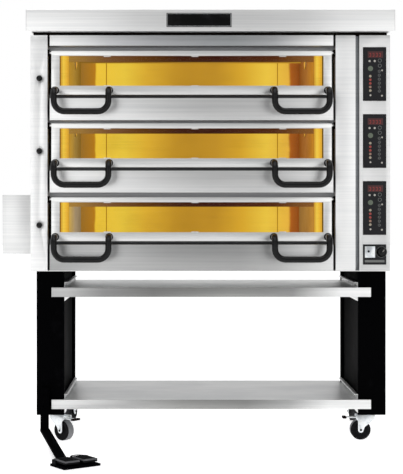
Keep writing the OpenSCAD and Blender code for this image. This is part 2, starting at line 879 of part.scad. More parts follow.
module pedal_frame() {
    base_t2 = 9;
    ear = 6;
    wire_bend = 32;
    color(black) place() union() {
        block(arm_x - arm_w / 2, arm_x + arm_w / 2, arm_y1, stand_y, 140, 230);
        block(arm_x - arm_w / 2, arm_x + arm_w / 2, arm_y0, arm_y1, arm_bend_z - 8, 240);
        bar([arm_x, -1, arm_bend_z], arm_end, arm_w + 4, 10);
        at_pedal() {
            block(-pedal_l / 2, pedal_l / 2, -pedal_w / 2, pedal_w / 2, 0, base_t2);
            for (x = [-pedal_l / 2 + 2, -ear / 2, pedal_l / 2 - 2 - ear])
                block(x, x + ear, pad_back - 8, pad_back, 0, pad_z1 - 2);
            rod_x([-pedal_l / 2 + 2, pad_back - 4, pad_z0 + 4], pad_pin_r, pedal_l - 4);
            block(arm_foot[0] - 22, arm_foot[0] + 22, pedal_w / 2 - 12, arm_foot[1] + 14, 0, base_t2);
            translate([44, pedal_w / 2 - 5, 0]) {
                rotate_extrude(angle = 180) translate([wire_bend, 24]) circle(r = wire_r);
                for (s = [-1, 1])
                    translate([s * wire_bend, 0, 4]) cylinder(r = wire_r + 0.6, h = 22.8);
            }
        }
    }
}

module pedal_pad(s) {
    x0 = s * (pedal_l / 4 - 0.5) - pad_l / 2;
    color("#1c1c1e") place() at_pedal() difference() {
        union() {
            block(x0, x0 + pad_l, pad_back - pad_w, pad_back, pad_z0, pad_z1);
            for (k = [0:6])
                block(x0 + 5, x0 + pad_l - 5, pad_back - pad_w + 8 + 11 * k, pad_back - pad_w + 12 + 11 * k, pad_z1, pad_z1 + 1.5);
        }
        rod_x([x0 - eps, pad_back - 4, pad_z0 + 4], pad_pin_r + run_fit, pad_l + 2 * eps);
    }
}

module pedal_pad_left() { pedal_pad(-1); }
module pedal_pad_right() { pedal_pad(1); }

// ---- Fasteners: identical screws and bolts as one group of separate solids ----

module fasteners() {
    head_r = 5;
    head_h = 2.5;
    color("#9da0a3") place() {
        for (x = [-720, -360, 0, 360, 720], z = [770, 1735])
            rod_y([x, body_d, z], head_r, head_h);
        for (x = [-755, 755], z = [1000, 1250, 1500])
            rod_y([x, body_d, z], head_r, head_h);
        for (y = [40, 450, 860], z = [775, 1735]) {
            rod_x([half_w, y, z], head_r, head_h);
            rod_x([-half_w - head_h, y, z], head_r, head_h);
        }
        translate([stand_x, 0, 0]) for (z = [upper_shelf_z, lower_shelf_z], y = [runner_y0 + 15, (runner_y0 + runner_y1) / 2, runner_y1 - 15]) {
            rod_x([inner_x - runner_t - 4, y, z + 12], 5, 4);
            rod_x([-inner_x + runner_t, y, z + 12], 5, 4);
        }
        for (x = [arm_x - 9, arm_x + 9], z = [160, 210])
            rod_y([x, arm_y0 - 5, z], 6, 5);
    }
}

hood_cap();
badge_plate();
left_side_panel();
right_side_panel();
rear_cover();
base_tray();
face_frame();
top_filler();
left_column();
right_column();
control_column();
aprons();
chamber_top();
chamber_middle();
chamber_bottom();
hearth_stones();
insulation();
heating_elements();
chamber_lamps();
hinge_brackets();
damper_guides();
flue_riser();
door_frame_top();
door_frame_middle();
door_frame_bottom();
door_glass_top();
door_glass_middle();
door_glass_bottom();
door_handles_top();
door_handles_middle();
door_handles_bottom();
damper_pull_top();
damper_pull_middle();
damper_pull_bottom();
control_panels();
switch_plate();
switch_knob();
side_box();
power_box();
stand_left();
stand_right();
stand_beams();
shelf_runners();
upper_shelf();
lower_shelf();
caster_plates();
caster_fork_front_left();
caster_fork_front_right();
caster_fork_rear_left();
caster_fork_rear_right();
caster_wheel_front_left();
caster_wheel_front_right();
caster_wheel_rear_left();
caster_wheel_rear_right();
brake_lever_left();
brake_lever_right();
pedal_frame();
pedal_pad_left();
pedal_pad_right();
fasteners();
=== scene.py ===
import json
import math
import random

import bmesh
import bpy
from mathutils import Matrix, Vector

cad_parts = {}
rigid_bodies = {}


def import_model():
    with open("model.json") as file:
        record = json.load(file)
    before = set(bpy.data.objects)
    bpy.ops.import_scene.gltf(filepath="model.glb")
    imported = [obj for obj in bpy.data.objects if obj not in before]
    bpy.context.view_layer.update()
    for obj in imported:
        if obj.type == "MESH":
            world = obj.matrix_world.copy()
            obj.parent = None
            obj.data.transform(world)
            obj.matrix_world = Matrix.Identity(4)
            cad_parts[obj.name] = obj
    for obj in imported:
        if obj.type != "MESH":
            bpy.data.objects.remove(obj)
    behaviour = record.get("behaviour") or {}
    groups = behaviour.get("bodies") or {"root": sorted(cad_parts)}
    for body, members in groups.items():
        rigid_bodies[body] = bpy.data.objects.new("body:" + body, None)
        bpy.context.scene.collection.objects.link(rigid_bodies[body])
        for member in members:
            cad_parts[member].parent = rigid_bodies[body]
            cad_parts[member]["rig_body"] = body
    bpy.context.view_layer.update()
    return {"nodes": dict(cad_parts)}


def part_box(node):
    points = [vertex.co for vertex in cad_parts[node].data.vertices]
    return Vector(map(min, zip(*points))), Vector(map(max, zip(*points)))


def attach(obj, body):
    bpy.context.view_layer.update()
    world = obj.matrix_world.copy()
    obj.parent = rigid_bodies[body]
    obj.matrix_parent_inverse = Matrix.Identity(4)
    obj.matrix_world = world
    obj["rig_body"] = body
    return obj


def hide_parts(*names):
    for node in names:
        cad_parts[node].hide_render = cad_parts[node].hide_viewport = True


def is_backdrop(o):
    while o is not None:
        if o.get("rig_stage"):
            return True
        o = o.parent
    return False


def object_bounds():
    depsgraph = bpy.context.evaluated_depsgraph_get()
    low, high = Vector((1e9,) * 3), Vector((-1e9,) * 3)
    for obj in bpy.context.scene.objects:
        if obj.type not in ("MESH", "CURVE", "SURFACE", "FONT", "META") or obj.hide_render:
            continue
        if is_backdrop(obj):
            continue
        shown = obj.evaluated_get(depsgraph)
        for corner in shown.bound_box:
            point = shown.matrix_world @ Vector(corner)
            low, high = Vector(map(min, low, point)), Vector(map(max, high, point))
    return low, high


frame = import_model()
nodes = frame["nodes"]
scene = bpy.context.scene
random.seed(7)

# places are in millimetres from the middle of the oven's front face, at floor level
trayLow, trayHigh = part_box("base_tray")
middleX = (trayLow.x + trayHigh.x) / 2
frontY = trayLow.y
mm = 0.001


def at(x, y, z):
    return Vector((middleX + x * mm, frontY + y * mm, z * mm))


def spot(node):
    # a node's two corners in the oven's own millimetres
    low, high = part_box(node)
    shift = Vector((middleX, frontY, 0))
    return (low - shift) / mm, (high - shift) / mm


decks = ("top", "middle", "bottom")
doorZ = {deck: spot("door_frame_" + deck)[0].z for deck in decks}
doorX = {deck: (spot("door_frame_" + deck)[0].x + spot("door_frame_" + deck)[1].x) / 2 for deck in decks}


class Wire:
    # a socket that adds its Math nodes when it is used in an expression
    def __init__(self, finish, socket):
        self.finish = finish
        self.socket = socket

    def maths(self, operation, first, second):
        return self.finish.node("ShaderNodeMath", {"operation": operation}, {0: first, 1: second})

    def __add__(self, other):
        return self.maths("ADD", self, other)

    def __radd__(self, other):
        return self.maths("ADD", other, self)

    def __sub__(self, other):
        return self.maths("SUBTRACT", self, other)

    def __rsub__(self, other):
        return self.maths("SUBTRACT", other, self)

    def __mul__(self, other):
        return self.maths("MULTIPLY", self, other)

    def __rmul__(self, other):
        return self.maths("MULTIPLY", other, self)

    def __gt__(self, other):
        return self.maths("GREATER_THAN", self, other)

    def __lt__(self, other):
        return self.maths("LESS_THAN", self, other)


def tone(code, strength=1.0):
    # a colour as it looks on screen, made linear
    parts = [int(code[i:i + 2], 16) / 255 for i in (0, 2, 4)]
    lit = [p / 12.92 if p <= 0.04045 else ((p + 0.055) / 1.055) ** 2.4 for p in parts]
    return tuple(strength * p for p in lit) + (1.0,)


def toned(stops):
    return [(place, tone(code)) for place, code in stops]


class Finish:
    # one material, with its nodes and its constant values
    def __init__(self, name, **constants):
        self.material = bpy.data.materials.new(name)
        self.material.use_nodes = True
        self.tree = self.material.node_tree
        self.shader = self.tree.nodes["Principled BSDF"]
        self.set(constants)

    def set(self, constants):
        for label, value in constants.items():
            self.shader.inputs[label.replace("_", " ")].default_value = value

    def node(self, kind, settings, sockets, output=0):
        made = self.tree.nodes.new(kind)
        for label, value in settings.items():
            if label == "stops":
                self.ramp(made.color_ramp, value)
            else:
                setattr(made, label, value)
        for label, value in sockets.items():
            if isinstance(value, Wire):
                self.tree.links.new(value.socket, made.inputs[label])
            else:
                made.inputs[label].default_value = value
        return Wire(self, made.outputs[output])

    def ramp(self, band, stops):
        while len(band.elements) < len(stops):
            band.elements.new(0.5)
        for element, (place, colour) in zip(band.elements, stops):
            element.position = place
            element.color = colour

    def feed(self, label, wire):
        self.tree.links.new(wire.socket, self.shader.inputs[label])

    def place(self):
        return self.node("ShaderNodeTexCoord", {}, {}, "Object")

    def axis(self, which):
        return self.node("ShaderNodeSeparateXYZ", {}, {0: self.place()}, which)

    def noise(self, stretch, detail=2.0, rough=0.5):
        # stretch is the number of waves for each metre along x, y and z
        spread = self.node("ShaderNodeMapping", {}, {"Vector": self.place(), "Scale": stretch})
        sockets = {"Vector": spread, "Scale": 1.0, "Detail": detail, "Roughness": rough}
        return self.node("ShaderNodeTexNoise", {}, sockets)

    def curve(self, value, low, high, out0=0.0, out1=1.0):
        sockets = {0: value, 1: low, 2: high, 3: out0, 4: out1}
        return self.node("ShaderNodeMapRange", {"interpolation_type": "SMOOTHSTEP"}, sockets)

    def mix(self, first, second, share, blend="MIX"):
        settings = {"data_type": "RGBA", "blend_type": blend}
        return self.node("ShaderNodeMix", settings, {0: share, 6: first, 7: second}, 2)

    def colours(self, value, stops):
        return self.node("ShaderNodeValToRGB", {"stops": stops}, {0: value})

    def bump(self, height, depth, strength=1.0):
        normal = self.node("ShaderNodeBump", {}, {"Height": height, "Distance": depth, "Strength": strength})
        self.feed("Normal", normal)


steelLook = {
    "light": "e9e9e8",
    "dark": "d9dada",
    "roughness": (0.34, 0.44),
    "grain": (3.0, 5.0, 1100.0),
    "grainDepth": 0.00003,
    "span": (-0.7, 0.846),
    "rise": (0.72, 1.78),
}


def brushedSteel(name, look, paintedLightAcross=None, paintedShadeUp=None):
    # the first optional list holds greys along the oven's width and the second up its height; they are multiplied
    # into the base colour as painted reflection and shade, for panels that darken on the way
    steel = Finish(name, Metallic=1.0)
    grain = steel.noise(look["grain"], 3.0, 0.65)
    streaks = steel.noise((1.2, 2.0, 140.0), 2.0)
    smears = steel.noise((3.0, 3.0, 4.0), 4.0, 0.6)
    share = steel.curve(grain * 0.55 + streaks * 0.45, 0.35, 0.68)
    sheet = steel.mix(tone(look["light"]), tone(look["dark"]), share)
    for stops, axis, reach in ((paintedLightAcross, "X", "span"), (paintedShadeUp, "Z", "rise")):
        if stops:
            low, high = look[reach]
            sockets = {0: steel.axis(axis), 1: low, 2: high, 3: 0.0, 4: 1.0}
            run = steel.node("ShaderNodeMapRange", {}, sockets)
            sheet = steel.mix(sheet, steel.colours(run, toned(stops)), 1.0, "MULTIPLY")
    steel.feed("Base Color", sheet)
    low, high = look["roughness"]
    steel.feed("Roughness", low + (high - low) * (grain * 0.4 + smears * 0.6))
    steel.bump(grain, look["grainDepth"])
    return steel.material


def powderCoat(name, colour="020203", worn="0c0c0e"):
    coat = Finish(name, Specular_IOR_Level=0.015)
    skin = coat.noise((420.0, 420.0, 420.0), 3.0, 0.6)
    scuffs = coat.noise((9.0, 9.0, 14.0), 5.0, 0.65)
    rubbed = coat.curve(scuffs, 0.56, 0.75)
    coat.feed("Base Color", coat.mix(tone(colour), tone(worn), rubbed * 0.6))
    coat.feed("Roughness", 0.66 + 0.16 * scuffs + 0.08 * skin)
    coat.bump(skin, 0.00022, 0.7)
    return coat.material


def glossBlack(name, colour="070708", roughness=0.16, shine=0.22):
    gloss = Finish(name, Specular_IOR_Level=shine)
    smears = gloss.noise((22.0, 22.0, 22.0), 4.0, 0.6)
    rub = gloss.noise((160.0, 160.0, 160.0), 2.0)
    gloss.feed("Base Color", gloss.mix(tone(colour), tone("101012"), gloss.curve(smears, 0.5, 0.75)))
    gloss.feed("Roughness", roughness + 0.14 * smears)
    gloss.bump(rub, 0.00005, 0.5)
    return gloss.material


def zincPlate(name):
    zinc = Finish(name, Metallic=1.0)
    cloud = zinc.noise((45.0, 45.0, 45.0), 4.0, 0.6)
    speck = zinc.noise((500.0, 500.0, 500.0), 2.0)
    spangle = toned([(0.3, "c3c8cc"), (0.55, "e3e6e8"), (0.75, "d5d6cf")])
    zinc.feed("Base Color", zinc.colours(cloud, spangle))
    zinc.feed("Roughness", 0.2 + 0.2 * cloud + 0.06 * speck)
    zinc.bump(speck, 0.00004, 0.6)
    return zinc.material


def wheelRubber(name, colour, dusty):
    tyre = Finish(name, Specular_IOR_Level=0.1)
    dust = tyre.noise((60.0, 60.0, 60.0), 5.0, 0.65)
    grit = tyre.noise((900.0, 900.0, 900.0), 2.0)
    tyre.feed("Base Color", tyre.mix(tone(colour), tone(dusty), tyre.curve(dust, 0.48, 0.78)))
    tyre.feed("Roughness", 0.55 + 0.3 * dust)
    tyre.bump(grit, 0.00012, 0.6)
    return tyre.material


def hearthStone(name):
    stone = Finish(name, Roughness=0.9, Specular_IOR_Level=0.2, Emission_Strength=1.0)
    pores = stone.noise((260.0, 260.0, 260.0), 5.0, 0.7)
    bakes = stone.noise((7.0, 9.0, 7.0), 4.0, 0.6)
    sand = stone.mix(tone("c79a4f"), tone("a2732f"), bakes)
    stone.feed("Base Color", stone.mix(sand, tone("6d4a22"), stone.curve(pores, 0.6, 0.8) * 0.6))
    # the stone's emission is painted lamp light: it glows though it is no lamp
    stone.feed("Emission Color", stone.mix(tone("a9781f", 0.5), tone("7b5013", 0.4), bakes))
    stone.feed("Roughness", 0.8 + 0.18 * pores)
    stone.bump(pores, 0.0006, 0.8)
    return stone.material


def mineralWool(name):
    wool = Finish(name, Sheen_Weight=0.4, Specular_IOR_Level=0.1)
    felt = wool.noise((300.0, 300.0, 60.0), 6.0, 0.75)
    clumps = wool.noise((25.0, 25.0, 12.0), 3.0)
    wool.feed("Base Color", wool.mix(tone("cdb76a"), tone("9d8440"), felt * 0.6 + clumps * 0.4))
    wool.feed("Roughness", 0.85 + 0.15 * felt)
    wool.bump(felt, 0.003, 0.9)
    return wool.material


def glowPaintedLiner(name, stops, axis, low, high, shade=0.0):
    # steel with painted lamp light in its emission, glowing though it is no lamp: the glow's colour runs along one
    # axis, from low to high in metres
    liner = Finish(name, Specular_IOR_Level=0.08, Emission_Strength=1.0)
    run = liner.node("ShaderNodeMapRange", {}, {0: liner.axis(axis), 1: low, 2: high, 3: 0.0, 4: 1.0})
    streaks = liner.noise((2.0, 2.0, 420.0), 3.0, 0.6)
    clouds = liner.noise((6.0, 6.0, 9.0), 4.0, 0.55)
    glow = liner.colours(run + 0.02 * (clouds - 0.5), stops)
    stain = liner.curve(streaks * 0.5 + clouds * 0.5, 0.42, 0.75) * (0.22 + shade)
    soft = liner.mix(glow, tone("5b3a10"), stain)
    liner.feed("Emission Color", soft)
    liner.feed("Base Color", liner.mix(tone("1a1206"), tone("0f0a04"), clouds))
    liner.feed("Roughness", 0.35 + 0.25 * clouds)
    liner.bump(streaks, 0.00006)
    return liner.material


def paneGlass(name):
    pane = Finish(name, Specular_IOR_Level=0.5, IOR=1.5)
    film = pane.noise((4.0, 4.0, 9.0), 4.0, 0.6)
    pane.feed("Base Color", pane.mix(tone("4a3a1a"), tone("2e2410"), film))
    pane.feed("Alpha", 0.03 + 0.03 * film)
    pane.feed("Roughness", 0.02 + 0.05 * film)
    pane.material.surface_render_method = "DITHERED"
    return pane.material


def filmBlack(name):
    film = Finish(name, Specular_IOR_Level=0.2)
    weave = film.noise((1400.0, 1400.0, 1400.0), 2.0)
    cloud = film.noise((14.0, 14.0, 14.0), 3.0)
    film.feed("Base Color", film.mix(tone("141416"), tone("1c1c20"), cloud))
    film.feed("Roughness", 0.3 + 0.14 * cloud + 0.05 * weave)
    film.bump(weave, 0.00004, 0.6)
    return film.material


def lampFilm(name, colour, strength, rim="1a1a1a"):
    # a small lit area, brighter in some places than others
    lit = Finish(name, Roughness=0.35, Emission_Strength=strength)
    cells = lit.noise((900.0, 900.0, 900.0), 2.0)
    lit.feed("Emission Color", lit.mix(tone(colour), tone(colour, 0.6), cells))
    lit.feed("Base Color", lit.mix(tone(colour, 0.5), tone(rim), 0.4 * cells))
    return lit.material


def printed(name, colour):
    ink = Finish(name, Specular_IOR_Level=0.4)
    wear = ink.noise((700.0, 700.0, 700.0), 3.0)
    ink.feed("Base Color", ink.mix(tone(colour), tone("6a6a6c"), 0.35 * wear))
    ink.feed("Roughness", 0.4 + 0.2 * wear)
    return ink.material


# painted reflection and shade across each panel's width: the hood, door and rail reflections, the filler shaded
# under the hood, and the darker lower apron and shelf lips
paintedLightBows = {
    "hood": [(0.0, "ffffff"), (0.2, "fafafa"), (0.3, "f0f0f0"),
             (0.6, "ededed"), (0.76, "f0f0f0"), (0.86, "ffffff")],
    "filler": [(0.08, "fafafa"), (0.21, "d4d5d7"), (0.34, "c4c5c8"),
               (0.56, "b4b7b9"), (0.68, "bfc0c2"), (0.83, "fcfcfc")],
    "apron": [(0.1, "ffffff"), (0.3, "eeeeee"), (0.5, "dddddd"),
              (0.64, "d9d9d9"), (0.8, "f0f0f0"), (0.9, "ffffff")],
    "lowApron": [(0.08, "b9b9b9"), (0.2, "cdcdcd"), (0.38, "bdbdbd"),
                 (0.58, "b7b7b7"), (0.68, "c2c2c2"), (0.83, "ededed")],
    "rail": [(0.1, "ffffff"), (0.3, "fdfdfc"), (0.5, "ececec"),
             (0.62, "dfdfde"), (0.73, "e6e6e5"), (0.83, "ffffff")],
    "door": [(0.08, "fcfcfb"), (0.26, "efefee"), (0.5, "ececec"),
             (0.64, "e0e1e0"), (0.73, "e8e8e7"), (0.83, "fdfdfc")],
    "upperLip": [(0.1, "cacaca"), (0.2, "9f9f9f"), (0.34, "8e8e8d"),
                 (0.55, "acacaa"), (0.73, "a7a7a7"), (0.86, "ffffff")],
    "lowerLip": [(0.1, "f5f5f5"), (0.28, "c7c7c7"), (0.42, "b0b0ae"),
                 (0.6, "a2a2a1"), (0.72, "c4c4c4"), (0.83, "ffffff")],
}
# painted shade up the right and control columns, darkest at the top under the hood
paintedShadeFalls = {
    "right": [(0.038, "f0f0f0"), (0.3, "fafafa"), (0.5, "ffffff"), (0.964, "ffffff"), (0.98, "d0d0d0")],
    "control": [(0.038, "e0e0e0"), (0.17, "ebebeb"), (0.31, "f2f2f2"), (0.51, "f7f7f7"),
                (0.88, "ffffff"), (0.964, "ffffff"), (0.98, "d0d0d0")],
}
steel = brushedSteel("claddingSteel", steelLook)
hoodSteel = brushedSteel("hoodSteel", steelLook, paintedLightBows["hood"])
fillerSteel = brushedSteel("fillerSteel", steelLook, paintedLightBows["filler"])
apronSteel = brushedSteel("apronSteel", steelLook, paintedLightBows["apron"])
lowApronSteel = brushedSteel("lowApronSteel", steelLook, paintedLightBows["lowApron"])
# the columns' steels are lit and shaded copies of the cladding steel: painted light makes the left column paler
# and the control column a little darker
columnLook = dict(steelLook, light="f4f4f3", dark="e8e9e9", roughness=(0.4, 0.5))
columnSteel = brushedSteel("columnSteel", columnLook)
rightSteel = brushedSteel("rightColumnSteel", columnLook, paintedShadeUp=paintedShadeFalls["right"])
controlLook = dict(columnLook, light="ededec", dark="e2e3e3")
controlSteel = brushedSteel("controlColumnSteel", controlLook, paintedShadeUp=paintedShadeFalls["control"])
rearSteel = brushedSteel("rearSteel", dict(steelLook, light="b2b5b7", dark="9a9d9f", roughness=(0.45, 0.6)))
# a darker steel for painted shade in the groove beside the control column
grooveShadeSteel = brushedSteel("grooveShadeSteel", dict(steelLook, light="8c8f92", dark="7b7e81"))
# darker steels for painted shade in the gaps above and below the doors
gapShadeSteel = brushedSteel("gapShadeSteel", dict(steelLook, light="a2a3a5", dark="8f9092"))
lowGapShadeSteel = brushedSteel("lowGapShadeSteel", dict(steelLook, light="525355", dark="454648"))
doorLook = dict(steelLook, light="eeeeed", dark="dcdddd", roughness=(0.3, 0.4))
doorSteel = brushedSteel("doorSteel", doorLook, paintedLightBows["door"])
railSteel = brushedSteel("railSteel", dict(doorLook, light="fcfcfb", dark="f1f1f0"), paintedLightBows["rail"])
shelfSteel = brushedSteel("shelfSteel", dict(steelLook, light="e6e6e5", dark="d2d3d3"))
upperLipSteel = brushedSteel("upperLipSteel", steelLook, paintedLightBows["upperLip"])
lowerLipSteel = brushedSteel("lowerLipSteel", steelLook, paintedLightBows["lowerLip"])
darkCoat = powderCoat("standCoat")
warmCoat = powderCoat("faceFrameCoat", "0d0806", "1c1512")
leverCoat = powderCoat("leverCoat", "140b0c", "231a1b")
handleGloss = glossBlack("handleGloss")
badgeGloss = glossBlack("badgeGloss", "040404", 0.1, 0.12)
zinc = zincPlate("zincPlate")
galvanised = zincPlate("galvanisedSheet")
treadRubber = wheelRubber("treadRubber", "77787a", "8c8c8e")
# the rear wheels get a darker copy of the tread: painted shade under the oven
shadedRearTread = wheelRubber("shadedRearTread", "2c2c2e", "434346")
hubRubber = wheelRubber("hubRubber", "0e0e10", "1c1c20")
padRubber = wheelRubber("padRubber", "070708", "121214")
rimHighlightRubber = wheelRubber("rimHighlightRubber", "5a5a5c", "707072")
stoneFinish = hearthStone("castStone")
woolFinish = mineralWool("woolFelt")
glassFinish = paneGlass("doorPane")
filmFinish = filmBlack("panelFilm")
# the element sheaths glow with painted lamp light
sheath = glowPaintedLiner("elementSheath", toned([(0.0, "8a6420"), (1.0, "b98a2c")]), "X", -0.6, 0.6)
print("finishes made")


def join(name, mesh, material, body="oven", smooth=35.0):
    data = bpy.data.meshes.new(name)
    bmesh.ops.recalc_face_normals(mesh, faces=mesh.faces)
    mesh.to_mesh(data)
    mesh.free()
    piece = bpy.data.objects.new(name, data)
    scene.collection.objects.link(piece)
    materials = material if isinstance(material, list) else [material]
    for each in materials:
        data.materials.append(each)
    if smooth:
        data.polygons.foreach_set("use_smooth", [True] * len(data.polygons))
        sharpen(data, smooth)
    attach(piece, body)
    return piece


def sharpen(data, degrees):
    # edges steeper than this stay crisp
    work = bmesh.new()
    work.from_mesh(data)
    for edge in work.edges:
        edge.smooth = not (len(edge.link_faces) != 2 or edge.calc_face_angle(0.0) > math.radians(degrees))
    work.to_mesh(data)
    work.free()


def slab(mesh, low, high, soft=1.0, segments=2, index=0):
    # a block between two corners with its edges rounded
    low, high = Vector(low), Vector(high)
    made = bmesh.ops.create_cube(mesh, size=1.0)
    size = high - low
    middle = (low + high) / 2
    bmesh.ops.scale(mesh, vec=size * mm, verts=made["verts"])
    bmesh.ops.translate(mesh, vec=at(*middle), verts=made["verts"])
    faces = set()
    edges = set()
    for vert in made["verts"]:
        edges.update(vert.link_edges)
        faces.update(vert.link_faces)
    for face in faces:
        face.material_index = index
    if soft > 0:
        bevelled = bmesh.ops.bevel(mesh, geom=list(edges), offset=soft * mm, segments=segments,
                                   profile=0.5, affect="EDGES", clamp_overlap=True)
        for face in bevelled["faces"]:
            face.material_index = index


def lathe(mesh, centre, direction, profile, turns=40, index=0):
    # profile is a list of (distance along direction, radius), in millimetres
    direction = Vector(direction).normalized()
    side = direction.orthogonal().normalized()
    other = direction.cross(side)
    rings = []
    for along, radius in profile:
        base = Vector(centre) + direction * along
        if radius < 1e-6:
            rings.append([mesh.verts.new(at(*base))])
            continue
        ring = []
        for k in range(turns):
            angle = 2 * math.pi * k / turns
            out = side * radius * math.cos(angle) + other * radius * math.sin(angle)
            ring.append(mesh.verts.new(at(*(base + out))))
        rings.append(ring)
    for first, second in zip(rings, rings[1:]):
        for k in range(turns):
            a = first[k % len(first)]
            b = first[(k + 1) % len(first)]
            c = second[(k + 1) % len(second)]
            d = second[k % len(second)]
            corners = []
            for vert in (a, b, c, d):
                if vert not in corners:
                    corners.append(vert)
            if len(corners) > 2:
                face = mesh.faces.new(corners)
                face.material_index = index
    for ring in (rings[0], rings[-1]):
        if len(ring) > 2:
            mesh.faces.new(ring).material_index = index


def tube(mesh, points, radius, turns=20, index=0):
    # a round bar along a list of points, with closed ends
    points = [Vector(p) for p in points]
    rings = []
    normal = None
    for i, point in enumerate(points):
        before = points[max(i - 1, 0)]
        after = points[min(i + 1, len(points) - 1)]
        run = (after - before).normalized()
        if normal is None:
            normal = run.orthogonal().normalized()
        normal = (normal - run * normal.dot(run)).normalized()
        other = run.cross(normal)
        width = radius[i] if isinstance(radius, list) else radius
        ring = []
        for k in range(turns):
            angle = 2 * math.pi * k / turns
            out = normal * width * math.cos(angle) + other * width * math.sin(angle)
            ring.append(mesh.verts.new(at(*(point + out))))
        rings.append(ring)
    for first, second in zip(rings, rings[1:]):
        for k in range(turns):
            face = mesh.faces.new([first[k], first[(k + 1) % turns], second[(k + 1) % turns], second[k]])
            face.material_index = index
    mesh.faces.new(rings[0]).material_index = index
    mesh.faces.new(list(reversed(rings[-1]))).material_index = index


def rounded(corners, radius, steps=7):
    # the corners of a route, each turned into an arc
    points = [Vector(c) for c in corners]
    route = [points[0]]
    for before, corner, after in zip(points, points[1:], points[2:]):
        first = (before - corner).normalized()
        second = (after - corner).normalized()
        half = math.acos(max(-1, min(1, first.dot(second)))) / 2
        reach = radius / math.tan(half)
        start = corner + first * reach
        end = corner + second * reach
        centre = corner + (first + second).normalized() * (radius / math.sin(half))
        for k in range(steps + 1):
            share = k / steps
            blend = start.lerp(end, share) - centre
            route.append(centre + blend.normalized() * radius)
    route.append(points[-1])
    return route


def softEdged(node, material, width=0.8, name=None, keepSharp=30.0):
    # the CAD node's own shape with every hard edge softened as a folded sheet's is
    source = nodes[node]
    work = bmesh.new()
    work.from_mesh(source.data)
    bmesh.ops.remove_doubles(work, verts=work.verts, dist=1e-5)
    bmesh.ops.dissolve_limit(work, angle_limit=math.radians(0.5), verts=work.verts, edges=work.edges)
    inner = [e for e in work.edges if len(e.link_faces) == 2]
    hard = [e for e in inner if e.calc_face_angle(0.0) > math.radians(keepSharp)]
    bmesh.ops.bevel(work, geom=hard, offset=width * mm, segments=2, profile=0.5,
                    affect="EDGES", clamp_overlap=True)
    data = bpy.data.meshes.new(name or node + "_sheet")
    work.to_mesh(data)
    work.free()
    piece = bpy.data.objects.new(name or node + "_sheet", data)
    scene.collection.objects.link(piece)
    data.materials.append(material)
    data.polygons.foreach_set("use_smooth", [True] * len(data.polygons))
    sharpen(data, 50.0)
    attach(piece, source["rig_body"])
    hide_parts(node)
    return piece


def dress(piece, material, choose):
    # gives another material to the faces that choose() picks by their middle, in the oven's millimetres
    shift = Vector((middleX, frontY, 0))
    data = piece.data
    data.materials.append(material)
    for face in data.polygons:
        if choose((face.center - shift) / mm):
            face.material_index = len(data.materials) - 1


def paint(node, material):
    data = nodes[node].data
    if not data.materials:
        data.materials.append(material)
    for i in range(len(data.materials)):
        data.materials[i] = material


def islands(node):
    # the boxes of a node's separate solids
    work = bmesh.new()
    work.from_mesh(nodes[node].data)
    bmesh.ops.remove_doubles(work, verts=work.verts, dist=1e-5)
    seen = set()
    found = []
    for start in work.verts:
        if start in seen:
            continue
        group = [start]
        seen.add(start)
        for vert in group:
            for edge in vert.link_edges:
                other = edge.other_vert(vert)
                if other not in seen:
                    seen.add(other)
                    group.append(other)
        shift = Vector((middleX, frontY, 0))
        low = Vector([min(v.co[i] for v in group) for i in range(3)])
        high = Vector([max(v.co[i] for v in group) for i in range(3)])
        found.append(((low - shift) / mm, (high - shift) / mm))
    work.free()
    return found


# the studio: camera, lights, sky and floor
studio = {
    "cameraX": -138.7,
    "cameraBack": 5700.0,
    "cameraHeight": 1015.0,
    "lens": 100.68,
    "shiftX": 0.0496,
    "shiftY": -0.0612,
    "floorSize": 60.0,
    "ambient": 0.5,
}

cameraData = bpy.data.cameras.new("studioCamera")
cameraData.lens = studio["lens"]
cameraData.sensor_width = 36.0
cameraData.shift_x = studio["shiftX"]
cameraData.shift_y = studio["shiftY"]
camera = bpy.data.objects.new("studioCamera", cameraData)
camera.location = at(studio["cameraX"], -studio["cameraBack"], studio["cameraHeight"])
camera.rotation_euler = (math.radians(90), 0, 0)
scene.collection.objects.link(camera)
scene.camera = camera


def softBox(name, place, aim, width, height, power):
    data = bpy.data.lights.new(name, "AREA")
    data.shape = "RECTANGLE"
    data.size = width
    data.size_y = height
    data.energy = power
    lamp = bpy.data.objects.new(name, data)
    lamp.location = place
    lamp.rotation_euler = (Vector(aim) - Vector(place)).to_track_quat("-Z", "Y").to_euler()
    scene.collection.objects.link(lamp)


softBox("boxLeft", (-3.3, -6.2, 1.7), (0.0, 0.0, 1.3), 3.2, 5.0, 52.0)
softBox("boxRight", (4.2, -6.2, 1.7), (0.0, 0.0, 1.3), 3.2, 5.0, 52.0)
softBox("boxTop", (0.0, -1.0, 5.2), (0.0, 0.0, 0.0), 6.0, 6.0, 150.0)
softBox("boxBack", (0.0, 5.5, 3.0), (0.0, 0.0, 1.0), 6.0, 3.0, 22.0)

world = bpy.data.worlds.new("studioWorld")
world.use_nodes = True
scene.world = world
worldTree = world.node_tree
background = worldTree.nodes["Background"]
background.inputs["Strength"].default_value = 1.0
ray = worldTree.nodes.new("ShaderNodeLightPath")
blendSky = worldTree.nodes.new("ShaderNodeMix")
blendSky.data_type = "RGBA"
blendSky.inputs[6].default_value = (studio["ambient"], studio["ambient"], studio["ambient"] * 1.01, 1.0)
blendSky.inputs[7].default_value = (1.0, 1.0, 1.0, 1.0)
worldTree.links.new(ray.outputs["Is Camera Ray"], blendSky.inputs[0])
worldTree.links.new(blendSky.outputs[2], background.inputs["Color"])
scene.view_settings.view_transform = "Standard"

floorFinish = Finish("paleFloor", Roughness=0.6, Specular_IOR_Level=0.1, Emission_Strength=1.0)
floorTone = floorFinish.noise((0.8, 0.8, 0.8), 3.0)
floorFinish.feed("Base Color", floorFinish.mix(tone("fbfbfb"), tone("f6f6f6"), floorTone))
